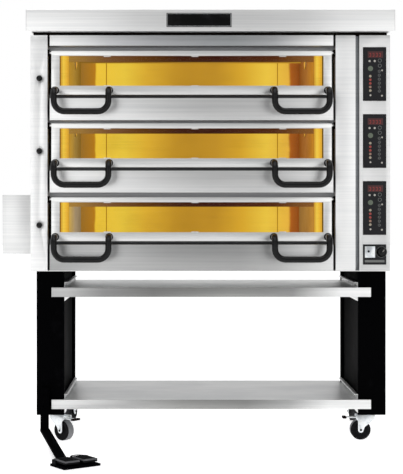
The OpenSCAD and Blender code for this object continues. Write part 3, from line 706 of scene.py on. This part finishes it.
# the floor's emission is low in front of the oven and high under and behind it: painted light that lifts the
# oven's shadow, fading into an evenly bright floor far away
floorY = floorFinish.axis("Y")
front, shadowLift, beyond = (0.3, 0.3, 0.3, 1.0), (0.72, 0.72, 0.72, 1.0), (0.7, 0.7, 0.7, 1.0)
close = floorFinish.mix(front, shadowLift, floorFinish.curve(floorY, -0.9, -0.1))
floorFinish.feed("Emission Color", floorFinish.mix(close, beyond, floorFinish.curve(floorY, 0.5, 2.6)))
floorMesh = bmesh.new()
bmesh.ops.create_grid(floorMesh, x_segments=8, y_segments=8, size=studio["floorSize"] / 2)
floorData = bpy.data.meshes.new("studioFloor")
floorMesh.to_mesh(floorData)
floorMesh.free()
floorData.materials.append(floorFinish.material)
floor = bpy.data.objects.new("studioFloor", floorData)
floor.location = (0, 0, -0.0006)
scene.collection.objects.link(floor)
floor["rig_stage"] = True
print("studio made")


# the hood, with a plinth under it in the dark face-frame coat: painted shade in the gap under the hood
hoodLook = {"soft": 2.5, "plinthSoft": 0.5, "gap": 12.0, "inset": 27.0, "recess": 12.0}
hoodLow, hoodHigh = spot("hood_cap")
bodyTop = spot("left_side_panel")[1].z
hood = bmesh.new()
gap, inset = hoodLook["gap"], hoodLook["inset"]
slab(hood, (hoodLow.x, hoodLow.y, bodyTop + gap), (hoodHigh.x, hoodHigh.y, hoodHigh.z), hoodLook["soft"], 3)
recess = hoodLook["recess"]
slab(hood, (hoodLow.x + inset, recess, bodyTop),
     (hoodHigh.x - inset, hoodHigh.y - recess, bodyTop + gap + 0.5), hoodLook["plinthSoft"], 1, 1)
hoodPiece = join("hoodShell", hood, [hoodSteel, warmCoat])
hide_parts("hood_cap")

badgeLook = {"rim": 3.0, "line": 1.1, "proud": 0.5}
badgeLow, badgeHigh = spot("badge_plate")
badge = bmesh.new()
slab(badge, badgeLow, badgeHigh, 1.2, 3)
badgePiece = join("badgePlate", badge, badgeGloss)
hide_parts("badge_plate")
trim = bmesh.new()
face = badgeLow.y
rim = badgeLook["rim"]
line = badgeLook["line"]
left, right = badgeLow.x + rim, badgeHigh.x - rim
bottom, top = badgeLow.z + rim, badgeHigh.z - rim
proud = badgeLook["proud"]
slab(trim, (left, face - proud, bottom), (right, face + 0.4, bottom + line), 0.2, 1)
slab(trim, (left, face - proud, top - line), (right, face + 0.4, top), 0.2, 1)
slab(trim, (left, face - proud, bottom), (left + line, face + 0.4, top), 0.2, 1)
slab(trim, (right - line, face - proud, bottom), (right, face + 0.4, top), 0.2, 1)
join("badgeTrim", trim, zinc)

for node in ("left_side_panel", "right_side_panel", "base_tray", "side_box"):
    softEdged(node, steel, 0.7)
softEdged("rear_cover", rearSteel, 0.7)
softEdged("left_column", columnSteel, 0.7)
softEdged("control_column", controlSteel, 0.7)
grooveX = spot("control_column")[0].x
# the faces in the groove by the control column get the darker steel: painted shade in the recess
dress(softEdged("right_column", rightSteel, 0.7), grooveShadeSteel, lambda p: p.x > grooveX - 19 and p.y > 5)
softEdged("top_filler", fillerSteel, 0.7)
apronPiece = softEdged("aprons", apronSteel, 0.7)
dress(apronPiece, lowApronSteel, lambda p: p.z < doorZ["bottom"])
railHeight = 42
for deck in decks:
    railTop = doorZ[deck] + railHeight
    dress(softEdged("door_frame_" + deck, doorSteel, 0.8), railSteel, lambda p: p.z < railTop)
softEdged("shelf_runners", shelfSteel, 0.6)
for node, lipSteel in (("upper_shelf", upperLipSteel), ("lower_shelf", lowerLipSteel)):
    lipFront = spot(node)[0].y
    dress(softEdged(node, shelfSteel, 0.6), lipSteel, lambda p: p.y < lipFront + 1.2)
for node in ("stand_left", "stand_right", "stand_beams", "pedal_frame"):
    softEdged(node, darkCoat, 1.0)
for node in ("face_frame", "hinge_brackets"):
    softEdged(node, warmCoat, 0.5)

# steel strips on the face frame, seen through the gaps above and below each door, toned as painted shade: mid grey
# above the door, dark below it
gapLook = {"doorHeight": 188.0, "above": 26.0, "below": 14.0, "lap": 8.0, "proud": 1.0}
for deck in decks:
    doorLow, doorHigh = spot("door_frame_" + deck)
    frameY = spot("face_frame")[0].y
    doorTop = doorZ[deck] + gapLook["doorHeight"]
    strips = bmesh.new()
    slab(strips, (doorLow.x, frameY - gapLook["proud"], doorTop - gapLook["lap"]),
         (doorHigh.x, frameY + 0.2, doorTop + gapLook["above"]), 0.3, 1, 0)
    slab(strips, (doorLow.x, frameY - gapLook["proud"], doorZ[deck] - gapLook["below"]),
         (doorHigh.x, frameY + 0.2, doorZ[deck] + gapLook["lap"]), 0.3, 1, 1)
    join("gapStrips_" + deck, strips, [gapShadeSteel, lowGapShadeSteel])
print("cladding and stand made")

# lid of the side box
boxLook = {"inset": 9.0, "proud": 1.6}
boxLow, boxHigh = spot("side_box")
edge = boxLook["inset"]
lid = bmesh.new()
slab(lid, (boxLow.x + edge, boxLow.y - boxLook["proud"], boxLow.z + edge),
     (boxHigh.x - edge, boxLow.y + 0.5, boxHigh.z - edge), 1.0, 2)
join("sideBoxLid", lid, steel)

# the chambers behind the doors, their walls glowing with painted lamp light
chamberLook = {
    "seamLeft": 125.0,
    "seamRight": 105.0,
    "seamWidth": 5.0,
    "seamProud": 1.4,
    "sheet": 1.6,
    "mouthSide": 37.0,
    "mouthBottom": 15.0,
    "mouthTop": 148.0,
    "windowTop": 178.0,
}
# colours of painted lamp light and shade in each chamber: its side walls, back wall, mouth strips and lintel
chamberGlowTones = {
    "top": {"left": ("b9892a", "99752f", "77560f"), "right": ("b8761e", "97592a", "7c4110"), "shade": 0.0},
    "middle": {"left": ("b9892a", "94763c", "77591c"), "right": ("b8761e", "97592a", "84480f"), "shade": 0.0},
    "bottom": {"left": ("c4a04c", "958570", "847558"), "right": ("b98034", "976a34", "8a6530"), "shade": 0.0},
}
backGlowStops = [
    (0.0, "9c7029"),
    (0.062, "b87c1c"),
    (0.07, "f6cb3e"),
    (0.2, "efcb42"),
    (0.3, "e2b235"),
    (0.43, "c59429"),
    (0.5, "c08f28"),
    (0.62, "c5932a"),
    (0.74, "dfac30"),
    (0.85, "f2cb46"),
    (0.952, "f0ba44"),
    (0.962, "b06020"),
    (1.0, "8f4a18"),
]
mouthGlowStops = [(0.0, "c98d2c"), (0.35, "fbd24c"), (0.7, "f4bd3c"), (1.0, "d9a233")]
lintelGlowShadeStops = [(0.0, "a9813a"), (0.16, "7a5230"), (0.3, "5d360e"), (0.45, "3a160a"), (0.6, "340e0a"),
               (0.84, "50260e"), (1.0, "8a5a2a")]

for deck in decks:
    linerLow, linerHigh = spot("chamber_" + deck)
    base = doorZ[deck]
    tones = chamberGlowTones[deck]
    sheet = chamberLook["sheet"]
    x0, x1 = linerLow.x + 2, linerHigh.x - 2
    y0, y1 = linerLow.y, linerHigh.y - 2
    z0, z1 = linerLow.z + 2, linerHigh.z - 2
    edgeLow, edgeHigh = at(x0, y0, z0), at(x1, y1, z1)

    backFinish = glowPaintedLiner("linerBack_" + deck, toned(backGlowStops), "X", edgeLow.x, edgeHigh.x)
    back = bmesh.new()
    slab(back, (x0, y1, z0), (x1, y1 + 2, z1), 0.3, 1)
    for seam in (x0 + chamberLook["seamLeft"], x1 - chamberLook["seamRight"]):
        slab(back, (seam - chamberLook["seamWidth"] / 2, y1 - chamberLook["seamProud"], z0),
             (seam + chamberLook["seamWidth"] / 2, y1 + 0.4, z1), 0.6, 2, 1)
    seamStops = toned([(0.0, "b98f1c"), (1.0, "a97a1a")])
    seamFinish = glowPaintedLiner("linerSeam_" + deck, seamStops, "Z", edgeLow.z, edgeHigh.z)
    join("chamberBack_" + deck, back, [backFinish, seamFinish])

    for side, stops, xa, xb in (("left", tones["left"], x0 - 2, x0), ("right", tones["right"], x1, x1 + 2)):
        stopsRun = toned(zip((0.0, 0.5, 1.0), stops))
        sideFinish = glowPaintedLiner("linerSide_" + deck + "_" + side, stopsRun, "Y", edgeLow.y, edgeHigh.y)
        wall = bmesh.new()
        slab(wall, (xa, y0, z0), (xb, y1, z1), 0.3, 1)
        join("chamberWall_" + deck + "_" + side, wall, sideFinish)

    skyStops = toned([(0.0, "a2731f"), (1.0, "d8a636")])
    skyFinish = glowPaintedLiner("linerTop_" + deck, skyStops, "Y", edgeLow.y, edgeHigh.y)
    cover = bmesh.new()
    slab(cover, (x0 - 2, y0, z1), (x1 + 2, y1 + 2, z1 + 2), 0.3, 1)
    slab(cover, (x0 - 2, y0, z0 - 2), (x1 + 2, y1 + 2, z0), 0.3, 1)
    for k in (0.33, 0.67):
        rib = x0 + (x1 - x0) * k
        slab(cover, (rib - 9, y0 + 2, z1 - 2.5), (rib + 9, y1 - 1, z1 + 0.5), 0.8, 2)
    coverPiece = join("chamberTop_" + deck, cover, skyFinish)
    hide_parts("chamber_" + deck)

    # strips on the face frame around the mouth, glowing with painted lamp light, and the lintel over the mouth,
    # painted with shade in the middle and lit at its ends
    mouthLow = base + chamberLook["mouthBottom"]
    mouthHigh = base + chamberLook["mouthTop"]
    frameY = spot("face_frame")[0].y
    wide = chamberLook["mouthSide"]
    for side, xa, xb in (("left", x0 - wide, x0), ("right", x1, x1 + wide)):
        span = (at(xa, 0, 0).x, at(xb, 0, 0).x)
        mouthFinish = glowPaintedLiner("mouthTrim_" + deck + "_" + side, toned(mouthGlowStops), "X", *span)
        strip = bmesh.new()
        slab(strip, (xa, frameY - 1.2, mouthLow - 3), (xb, frameY + 0.2, base + chamberLook["windowTop"]),
             0.4, 2)
        join("mouthStrip_" + deck + "_" + side, strip, mouthFinish)
    lintelFinish = glowPaintedLiner("mouthLintel_" + deck, toned(lintelGlowShadeStops), "X", edgeLow.x, edgeHigh.x)
    lintel = bmesh.new()
    slab(lintel, (x0, frameY - 1.0, mouthHigh), (x1, frameY + 0.2, base + chamberLook["windowTop"]), 0.4, 2)
    slab(lintel, (x0, frameY - 1.6, mouthHigh), (x1, frameY + 0.2, mouthHigh + 4), 0.6, 2)
    join("mouthLintel_" + deck, lintel, lintelFinish)

    for i in range(len(nodes["door_glass_" + deck].data.materials)):
        nodes["door_glass_" + deck].data.materials[i] = glassFinish
print("chambers made")

# lamps: a bezel ring and a domed glass on each wall
lampLook = {"colour": "e9b552", "strength": 0.8}
lampGlow = lampFilm("lampGlow", lampLook["colour"], lampLook["strength"], "c9a04a")
for number, (low, high) in enumerate(sorted(islands("chamber_lamps"), key=lambda b: (-b[0].z, b[0].x))):
    deck = decks[number // 2]
    middle = (low + high) / 2
    radius = (high.z - low.z) / 2
    onLeft = middle.x < doorX[deck]
    direction = (1, 0, 0) if onLeft else (-1, 0, 0)
    wallX = spot("chamber_" + deck)[0].x + 2 if onLeft else spot("chamber_" + deck)[1].x - 2
    centre = (wallX, middle.y, middle.z)
    lamp = bmesh.new()
    dome = [(-1, 0), (-1, radius - 6), (4, radius - 7), (6.6, radius - 12), (7.8, radius - 20), (8, 0)]
    lathe(lamp, centre, direction, dome)
    bezel = [(-1, radius - 5), (-1, radius), (3, radius), (5, radius - 2), (4, radius - 6)]
    lathe(lamp, centre, direction, bezel, 40, 1)
    lampName = "chamberLamp_" + deck + ("_left" if onLeft else "_right")
    glowPiece = join(lampName, lamp, [lampGlow, zinc])
    if number == 0:
        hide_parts("chamber_lamps")
print("lamps made")

plainNodes = {
    "hearth_stones": stoneFinish,
    "insulation": woolFinish,
    "heating_elements": sheath,
    "flue_riser": galvanised,
    "power_box": galvanised,
    "damper_guides": handleGloss,
    "caster_plates": zinc,
}
for node, material in plainNodes.items():
    paint(node, material)

# bent tubes on the bottom rail of each door
handleLook = {"radius": 13.5, "collar": 4.0, "bend": 29.0, "corner": 45.0}
for deck in decks:
    low, high = spot("door_handles_" + deck)
    radius = handleLook["radius"]
    ring = radius + handleLook["collar"]
    drop = low.z + radius
    front = low.y + radius
    root = high.z - ring
    grips = bmesh.new()
    for group in sorted(islands("door_handles_" + deck), key=lambda b: b[0].x)[:2]:
        xa, xb = group[0].x + ring, group[1].x - ring
        route = rounded([(xa, 0, root), (xa, front, root), (xa, front, drop)], handleLook["bend"])[:-1]
        corners = [route[-1], (xa, front, drop), (xb, front, drop), (xb, front, root)]
        lower = rounded(corners, handleLook["corner"])
        back = rounded([(xb, front, drop + 60), (xb, front, root), (xb, 0, root)], handleLook["bend"])
        path = route + lower[1:-1] + back[1:]
        tube(grips, path, radius)
        for x in (xa, xb):
            collar = [(0, 0), (0, ring - 0.4), (2.4, ring - 0.4), (4.4, ring - 2.2), (5.0, radius + 0.2), (5.0, 0)]
            lathe(grips, (x, 0.2, root), (0, -1, 0), collar, 32)
    gripPiece = join("doorGrips_" + deck, grips, handleGloss, "door_" + deck, 40.0)
    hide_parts("door_handles_" + deck)
print("handles made")

# damper knobs on the left column
damperLook = {"radius": 13.0, "steps": 14}
for deck in decks:
    low, high = spot("damper_pull_" + deck)
    x = (low.x + high.x) / 2
    z = (low.z + high.z) / 2
    knobRadius = damperLook["radius"]
    centreY = low.y + knobRadius
    pull = bmesh.new()
    arc = [math.pi * k / damperLook["steps"] for k in range(damperLook["steps"] - 2)]
    ball = [(-knobRadius * math.cos(turn), knobRadius * math.sin(turn)) for turn in arc]
    stem = [(10.5, 6.4), (14.5, 5.4), (15.2, 6.2), (16.5, 6.2), (16.5, 4.0)]
    rod = [(high.y - centreY, 4.0), (high.y - centreY, 0)]
    lathe(pull, (x, centreY, z), (0, 1, 0), ball + stem + rod, 36)
    knobPiece = join("damperKnob_" + deck, pull, handleGloss, "damper_" + deck, 40.0)
    flap = bmesh.new()
    slab(flap, (low.x, high.y - 3, low.z), (high.x, high.y, high.z), 0.5, 2)
    join("damperFlap_" + deck, flap, galvanised, "damper_" + deck)
    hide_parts("damper_pull_" + deck)

# three controllers and the main switch on the control column
panelLook = {
    "rim": 4.0,
    "lampRed": "8e3129",
    "lampAmber": "8c6c5c",
    "lampPale": "9c9280",
    "segment": "8a2822",
    "mark": "6a6c6a",
    "pale": "b4b0a8",
    "patch": "55604e",
    "lampStep": 15.5,
    "markStep": 17.0,
}
redGlow = lampFilm("redGlow", panelLook["lampRed"], 0.8)
segmentGlow = lampFilm("segmentGlow", panelLook["segment"], 0.8)
darkRed = lampFilm("displayGlow", "360a0c", 0.9)
amberGlow = lampFilm("amberGlow", panelLook["lampAmber"], 0.7)
paleGlow = lampFilm("paleGlow", panelLook["lampPale"], 0.7)
markInk = printed("markInk", panelLook["mark"])
paleInk = printed("paleInk", panelLook["pale"])
dimInk = printed("dimInk", panelLook["patch"])


def ringMark(mesh, x, y, z, outer, inner, proud=0.4, index=0):
    profile = [(0, inner), (proud, inner), (proud, outer), (0, outer)]
    lathe(mesh, (x, y, z), (0, -1, 0), profile, 24, index)


def disc(mesh, x, y, z, radius, proud=0.5, index=0):
    profile = [(0, 0), (0, radius), (proud * 0.6, radius), (proud, radius * 0.8), (proud, 0)]
    lathe(mesh, (x, y, z), (0, -1, 0), profile, 20, index)


controls = bmesh.new()
marks = bmesh.new()
for low, high in sorted(islands("control_panels"), key=lambda b: -b[0].z):
    faceY = low.y
    slab(controls, (low.x, low.y, low.z), (high.x, 0, high.z), 1.6, 3)
    slab(controls, (low.x + 7, 0, low.z + 7), (high.x - 7, high.y, high.z - 7), 0.6, 1)
    inner = panelLook["rim"]
    slab(controls, (low.x + inner, faceY - 0.5, low.z + inner),
         (high.x - inner, faceY + 0.3, high.z - inner), 0.3, 1, 1)
    x0, z1 = low.x, high.z
    slab(marks, (x0 + 20, faceY - 1.0, z1 - 46), (x0 + 86, faceY - 0.3, z1 - 18), 0.4, 1, 0)
    for k in range(4):
        left = x0 + 27 + 14 * k
        slab(marks, (left, faceY - 1.2, z1 - 41), (left + 7, faceY - 0.8, z1 - 38.5), 0.1, 1, 7)
        slab(marks, (left, faceY - 1.2, z1 - 28), (left + 7, faceY - 0.8, z1 - 25.5), 0.1, 1, 7)
        slab(marks, (left + 5, faceY - 1.2, z1 - 40), (left + 7.2, faceY - 0.8, z1 - 26.5), 0.1, 1, 7)
    for x in (28, 50):
        disc(marks, x0 + x, faceY - 0.5, z1 - 60, 4.6, 0.7, 5)
    for z in (58, 80):
        ringMark(marks, x0 + 72, faceY - 0.4, z1 - z, 8.0, 6.4, 0.5, 4)
    disc(marks, x0 + 32, faceY - 0.5, z1 - 92, 11.0, 0.7, 6)
    for k in range(5):
        z = z1 - 125 - panelLook["lampStep"] * k
        disc(marks, x0 + 31, faceY - 0.5, z, 5.4, 0.8, (3, 1, 1, 2, 3)[k])
    for k in range(6):
        z = z1 - 104 - panelLook["markStep"] * k
        ringMark(marks, x0 + 70, faceY - 0.4, z, 6.0, 4.6, 0.5, 4)
        slab(marks, (x0 + 67, faceY - 0.8, z - 0.7), (x0 + 73, faceY - 0.3, z + 0.7), 0.2, 1, 4)
    disc(marks, x0 + 82, faceY - 0.5, z1 - 100, 3.6, 0.6, 5)
    disc(marks, x0 + 32, faceY - 0.5, low.z + 24, 4.0, 0.6, 5)
    disc(marks, x0 + 81, faceY - 0.5, low.z + 22, 4.0, 0.6, 5)
controlsPiece = join("controlPanels", controls, [badgeGloss, filmFinish])
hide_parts("control_panels")
markFinishes = [darkRed, redGlow, amberGlow, paleGlow, markInk, paleInk, dimInk, segmentGlow]
join("controlMarks", marks, markFinishes)

switchLow, switchHigh = spot("switch_plate")
knobLow, knobHigh = spot("switch_knob")
knobX = (knobLow.x + knobHigh.x) / 2
knobZ = (knobLow.z + knobHigh.z) / 2
plate = bmesh.new()
slab(plate, (switchLow.x, switchLow.y, switchLow.z), (switchHigh.x, 0, switchHigh.z), 1.6, 3, 0)
slab(plate, (switchLow.x + 7, 0, switchLow.z + 7), (switchHigh.x - 7, switchHigh.y, switchHigh.z - 7), 0.6, 1, 0)
slab(plate, (switchLow.x + 8, switchLow.y - 0.8, switchLow.z + 30),
     (switchLow.x + 52, switchLow.y + 0.4, switchHigh.z - 8), 1.2, 2, 1)
slab(plate, (switchLow.x + 8, switchLow.y - 0.6, switchLow.z + 10),
     (switchHigh.x - 8, switchLow.y + 0.4, switchLow.z + 20), 0.8, 2, 2)
disc(plate, switchLow.x + 24, switchLow.y - 0.8, switchHigh.z - 30, 5.0, 0.8, 0)
ringMark(plate, knobX, switchLow.y, knobZ, 24.0, 22.6, 0.4, 2)
for k in range(7):
    angle = math.radians(-120 + 40 * k)
    disc(plate, knobX + 19.6 * math.sin(angle), switchLow.y, knobZ + 19.6 * math.cos(angle), 0.9, 0.4, 2)
platePiece = join("switchPlate", plate, [filmFinish, zinc, markInk])
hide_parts("switch_plate")
knob = bmesh.new()
knobProfile = [(2, 0), (2, 14.4), (3.4, 16.2), (9, 17.0), (10.4, 17.0), (10.4, 4), (34, 4), (34, 0)]
lathe(knob, (knobX, knobLow.y, knobZ), (0, 1, 0), knobProfile, 44)
ribs = 20
ribRing = 16.2
for k in range(ribs):
    angle = 2 * math.pi * k / ribs
    foot = (knobX + ribRing * math.cos(angle), knobLow.y + 3.6, knobZ + ribRing * math.sin(angle))
    lathe(knob, foot, (0, 1, 0), [(0, 0), (0, 0.7), (6, 0.7), (6, 0)], 8)
gripMesh = bmesh.new()
slab(gripMesh, (knobX - 4.4, knobLow.y, knobZ - 15.2), (knobX + 4.4, knobLow.y + 6, knobZ + 15.2), 1.4, 3)
slab(gripMesh, (knobX - 0.8, knobLow.y - 0.25, knobZ + 2), (knobX + 0.8, knobLow.y + 0.6, knobZ + 14.4),
     0.2, 1, 1)
hub = at(knobX, 0, knobZ)
turn = Matrix.Translation(hub) @ Matrix.Rotation(math.radians(45), 4, "Y") @ Matrix.Translation(-hub)
bmesh.ops.transform(gripMesh, matrix=turn, verts=gripMesh.verts)
knobPiece = join("switchKnob", knob, handleGloss, "power_switch", 40.0)
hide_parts("switch_knob")
join("switchGrip", gripMesh, [handleGloss, paleInk], "power_switch")
print("controls made")

# heads of the screws and bolts
heads = bmesh.new()
boltZone = {"y": 0.0, "z": 240.0}
for low, high in islands("fasteners"):
    size = high - low
    middle = (low + high) / 2
    blackBolt = middle.y < boltZone["y"] and middle.z < boltZone["z"]
    thin = min(range(3), key=lambda i: abs(size[i] - min(size)))
    direction = Vector((0, 0, 0))
    if thin == 0:
        inwards = 1 if middle.x < 0 else -1
        if abs(middle.x) < 700:
            inwards = -inwards
        direction.x = -1 if (inwards > 0) == (abs(middle.x) > 700) and middle.x < 0 else 1
        if abs(middle.x) < 700:
            direction.x = 1 if middle.x < 0 else -1
    elif thin == 1:
        direction.y = -1 if middle.y < 300 else 1
    radius = max(size) / 2
    depth = min(size)
    start = middle - direction * depth / 2
    head = [(0, 0), (0, radius), (depth * 0.5, radius), (depth * 0.85, radius * 0.8), (depth, radius * 0.5),
            (depth, radius * 0.34), (depth * 0.4, radius * 0.3), (depth * 0.4, 0)]
    lathe(heads, start, direction, head, 24, int(blackBolt))
headPiece = join("screwHeads", heads, [zinc, darkCoat])
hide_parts("fasteners")

# casters, brake levers and the foot pedal
casterLook = {
    "radius": 44.5,
    "half": 20.0,
    "boltReach": 29.4,
    "swivelY": 122.0,
    "leftX": -666.0,
    "rightX": 699.0,
    "leftTip": 107.0,
    "rightTip": 99.0,
}
for place in ("front_left", "front_right", "rear_left", "rear_right"):
    softEdged("caster_fork_" + place, zinc, 0.6)
    wheelNode = nodes["caster_wheel_" + place]
    low, high = spot("caster_wheel_" + place)
    centre = (low + high) / 2
    # the axle's direction is the way in which the wheel's outline is thinnest
    points = [v.co for v in wheelNode.data.vertices]
    best = None
    for step in range(180):
        angle = math.radians(step)
        way = Vector((math.cos(angle), math.sin(angle), 0))
        reach = max(p.dot(way) for p in points) - min(p.dot(way) for p in points)
        if best is None or reach < best[0]:
            best = (reach, way)
    way = best[1]
    wheel = bmesh.new()
    half = casterLook["half"]
    outer = casterLook["radius"]
    band = [(-half + 5.8, outer - 3), (-half + 4.6, outer), (half - 4.6, outer), (half - 5.8, outer - 3)]
    lathe(wheel, centre, way, band, 56, 0)
    side = [(half + 2.3, 6.2), (half + 2.3, 12.2), (half - 0.2, 13.4), (half - 4.5, 15), (half - 5, 27),
            (half - 1.4, 31), (half - 1.0, outer - 5), (half - 2.4, outer - 1.9), (half - 3.4, outer - 1.5)]
    lathe(wheel, centre, way, [(-a, r) for a, r in side] + [(a, r) for a, r in reversed(side)], 56, 1)
    bolt = casterLook["boltReach"]
    for sign in (-1, 1):
        end = [(bolt - 6, 5.0), (bolt, 5.0), (bolt + 1.0, 4.0), (bolt + 1.0, 0)]
        lathe(wheel, centre, way, [(sign * along, r) for along, r in end], 20, 2)
    # the rear treads are the darker copy, as painted shade
    tread = treadRubber if "front" in place else shadedRearTread
    wheelFinishes = [tread, hubRubber, darkCoat]
    wheelPiece = join("casterWheel_" + place, wheel, wheelFinishes, "wheel_" + place, 40.0)
    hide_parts("caster_wheel_" + place)
for side in ("left", "right"):
    pivot = Vector((casterLook[side + "X"], casterLook["swivelY"]))
    tip = casterLook[side + "Tip"]
    dress(softEdged("brake_lever_" + side, zinc, 1.2), leverCoat, lambda p: (p.xy - pivot).length > tip)
    softEdged("pedal_pad_" + side, padRubber, 0.8)

# a paler rim along the near and left edge of each pad: a painted highlight on its chamfered edges
pedalLook = {
    "x": -543.0,
    "y": -478.0,
    "turn": 35.0,
    "padX": 40.75,
    "half": 32.25,
    "near": -47.0,
    "far": 45.0,
    "top": 29.0,
    "rim": 5.0,
    "plateTop": 8.6,
    "bufferEnd": 74.2,
    "bufferStart": {"left": 40.0, "right": 12.0},
}
pedalTurn = Matrix.Rotation(math.radians(pedalLook["turn"]), 4, "Z")
pedalSpot = Matrix.Translation(at(pedalLook["x"], pedalLook["y"], 0))
pedalPlace = pedalSpot @ pedalTurn @ Matrix.Translation(-at(0, 0, 0))
for side, sign in (("left", -1), ("right", 1)):
    middle, half = sign * pedalLook["padX"], pedalLook["half"]
    near, far, top, wide = pedalLook["near"], pedalLook["far"], pedalLook["top"], pedalLook["rim"]
    rims = bmesh.new()
    slab(rims, (middle - half, near - 0.6, top - 5), (middle + half, near + wide, top + 0.8), 0.7, 2)
    slab(rims, (middle - half - 0.6, near, top - 5), (middle - half + wide, far - 8, top + 0.8), 0.7, 2)
    bmesh.ops.transform(rims, matrix=pedalPlace, verts=rims.verts)
    join("padRim_" + side, rims, rimHighlightRubber, "pad_" + side)
    buffer = bmesh.new()
    ends = sorted((sign * pedalLook["bufferStart"][side], sign * pedalLook["bufferEnd"]))
    slab(buffer, (ends[0], 24, pedalLook["plateTop"]), (ends[1], 38, 15.0), 1.0, 2)
    if sign < 0:
        slab(buffer, (-80.5, 18, 7.5), (-73.8, 38, 24), 1.0, 2)
    bmesh.ops.transform(buffer, matrix=pedalPlace, verts=buffer.verts)
    join("padBuffer_" + side, buffer, padRubber)
print("casters and pedal made")

low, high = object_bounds()
print("all pieces made")
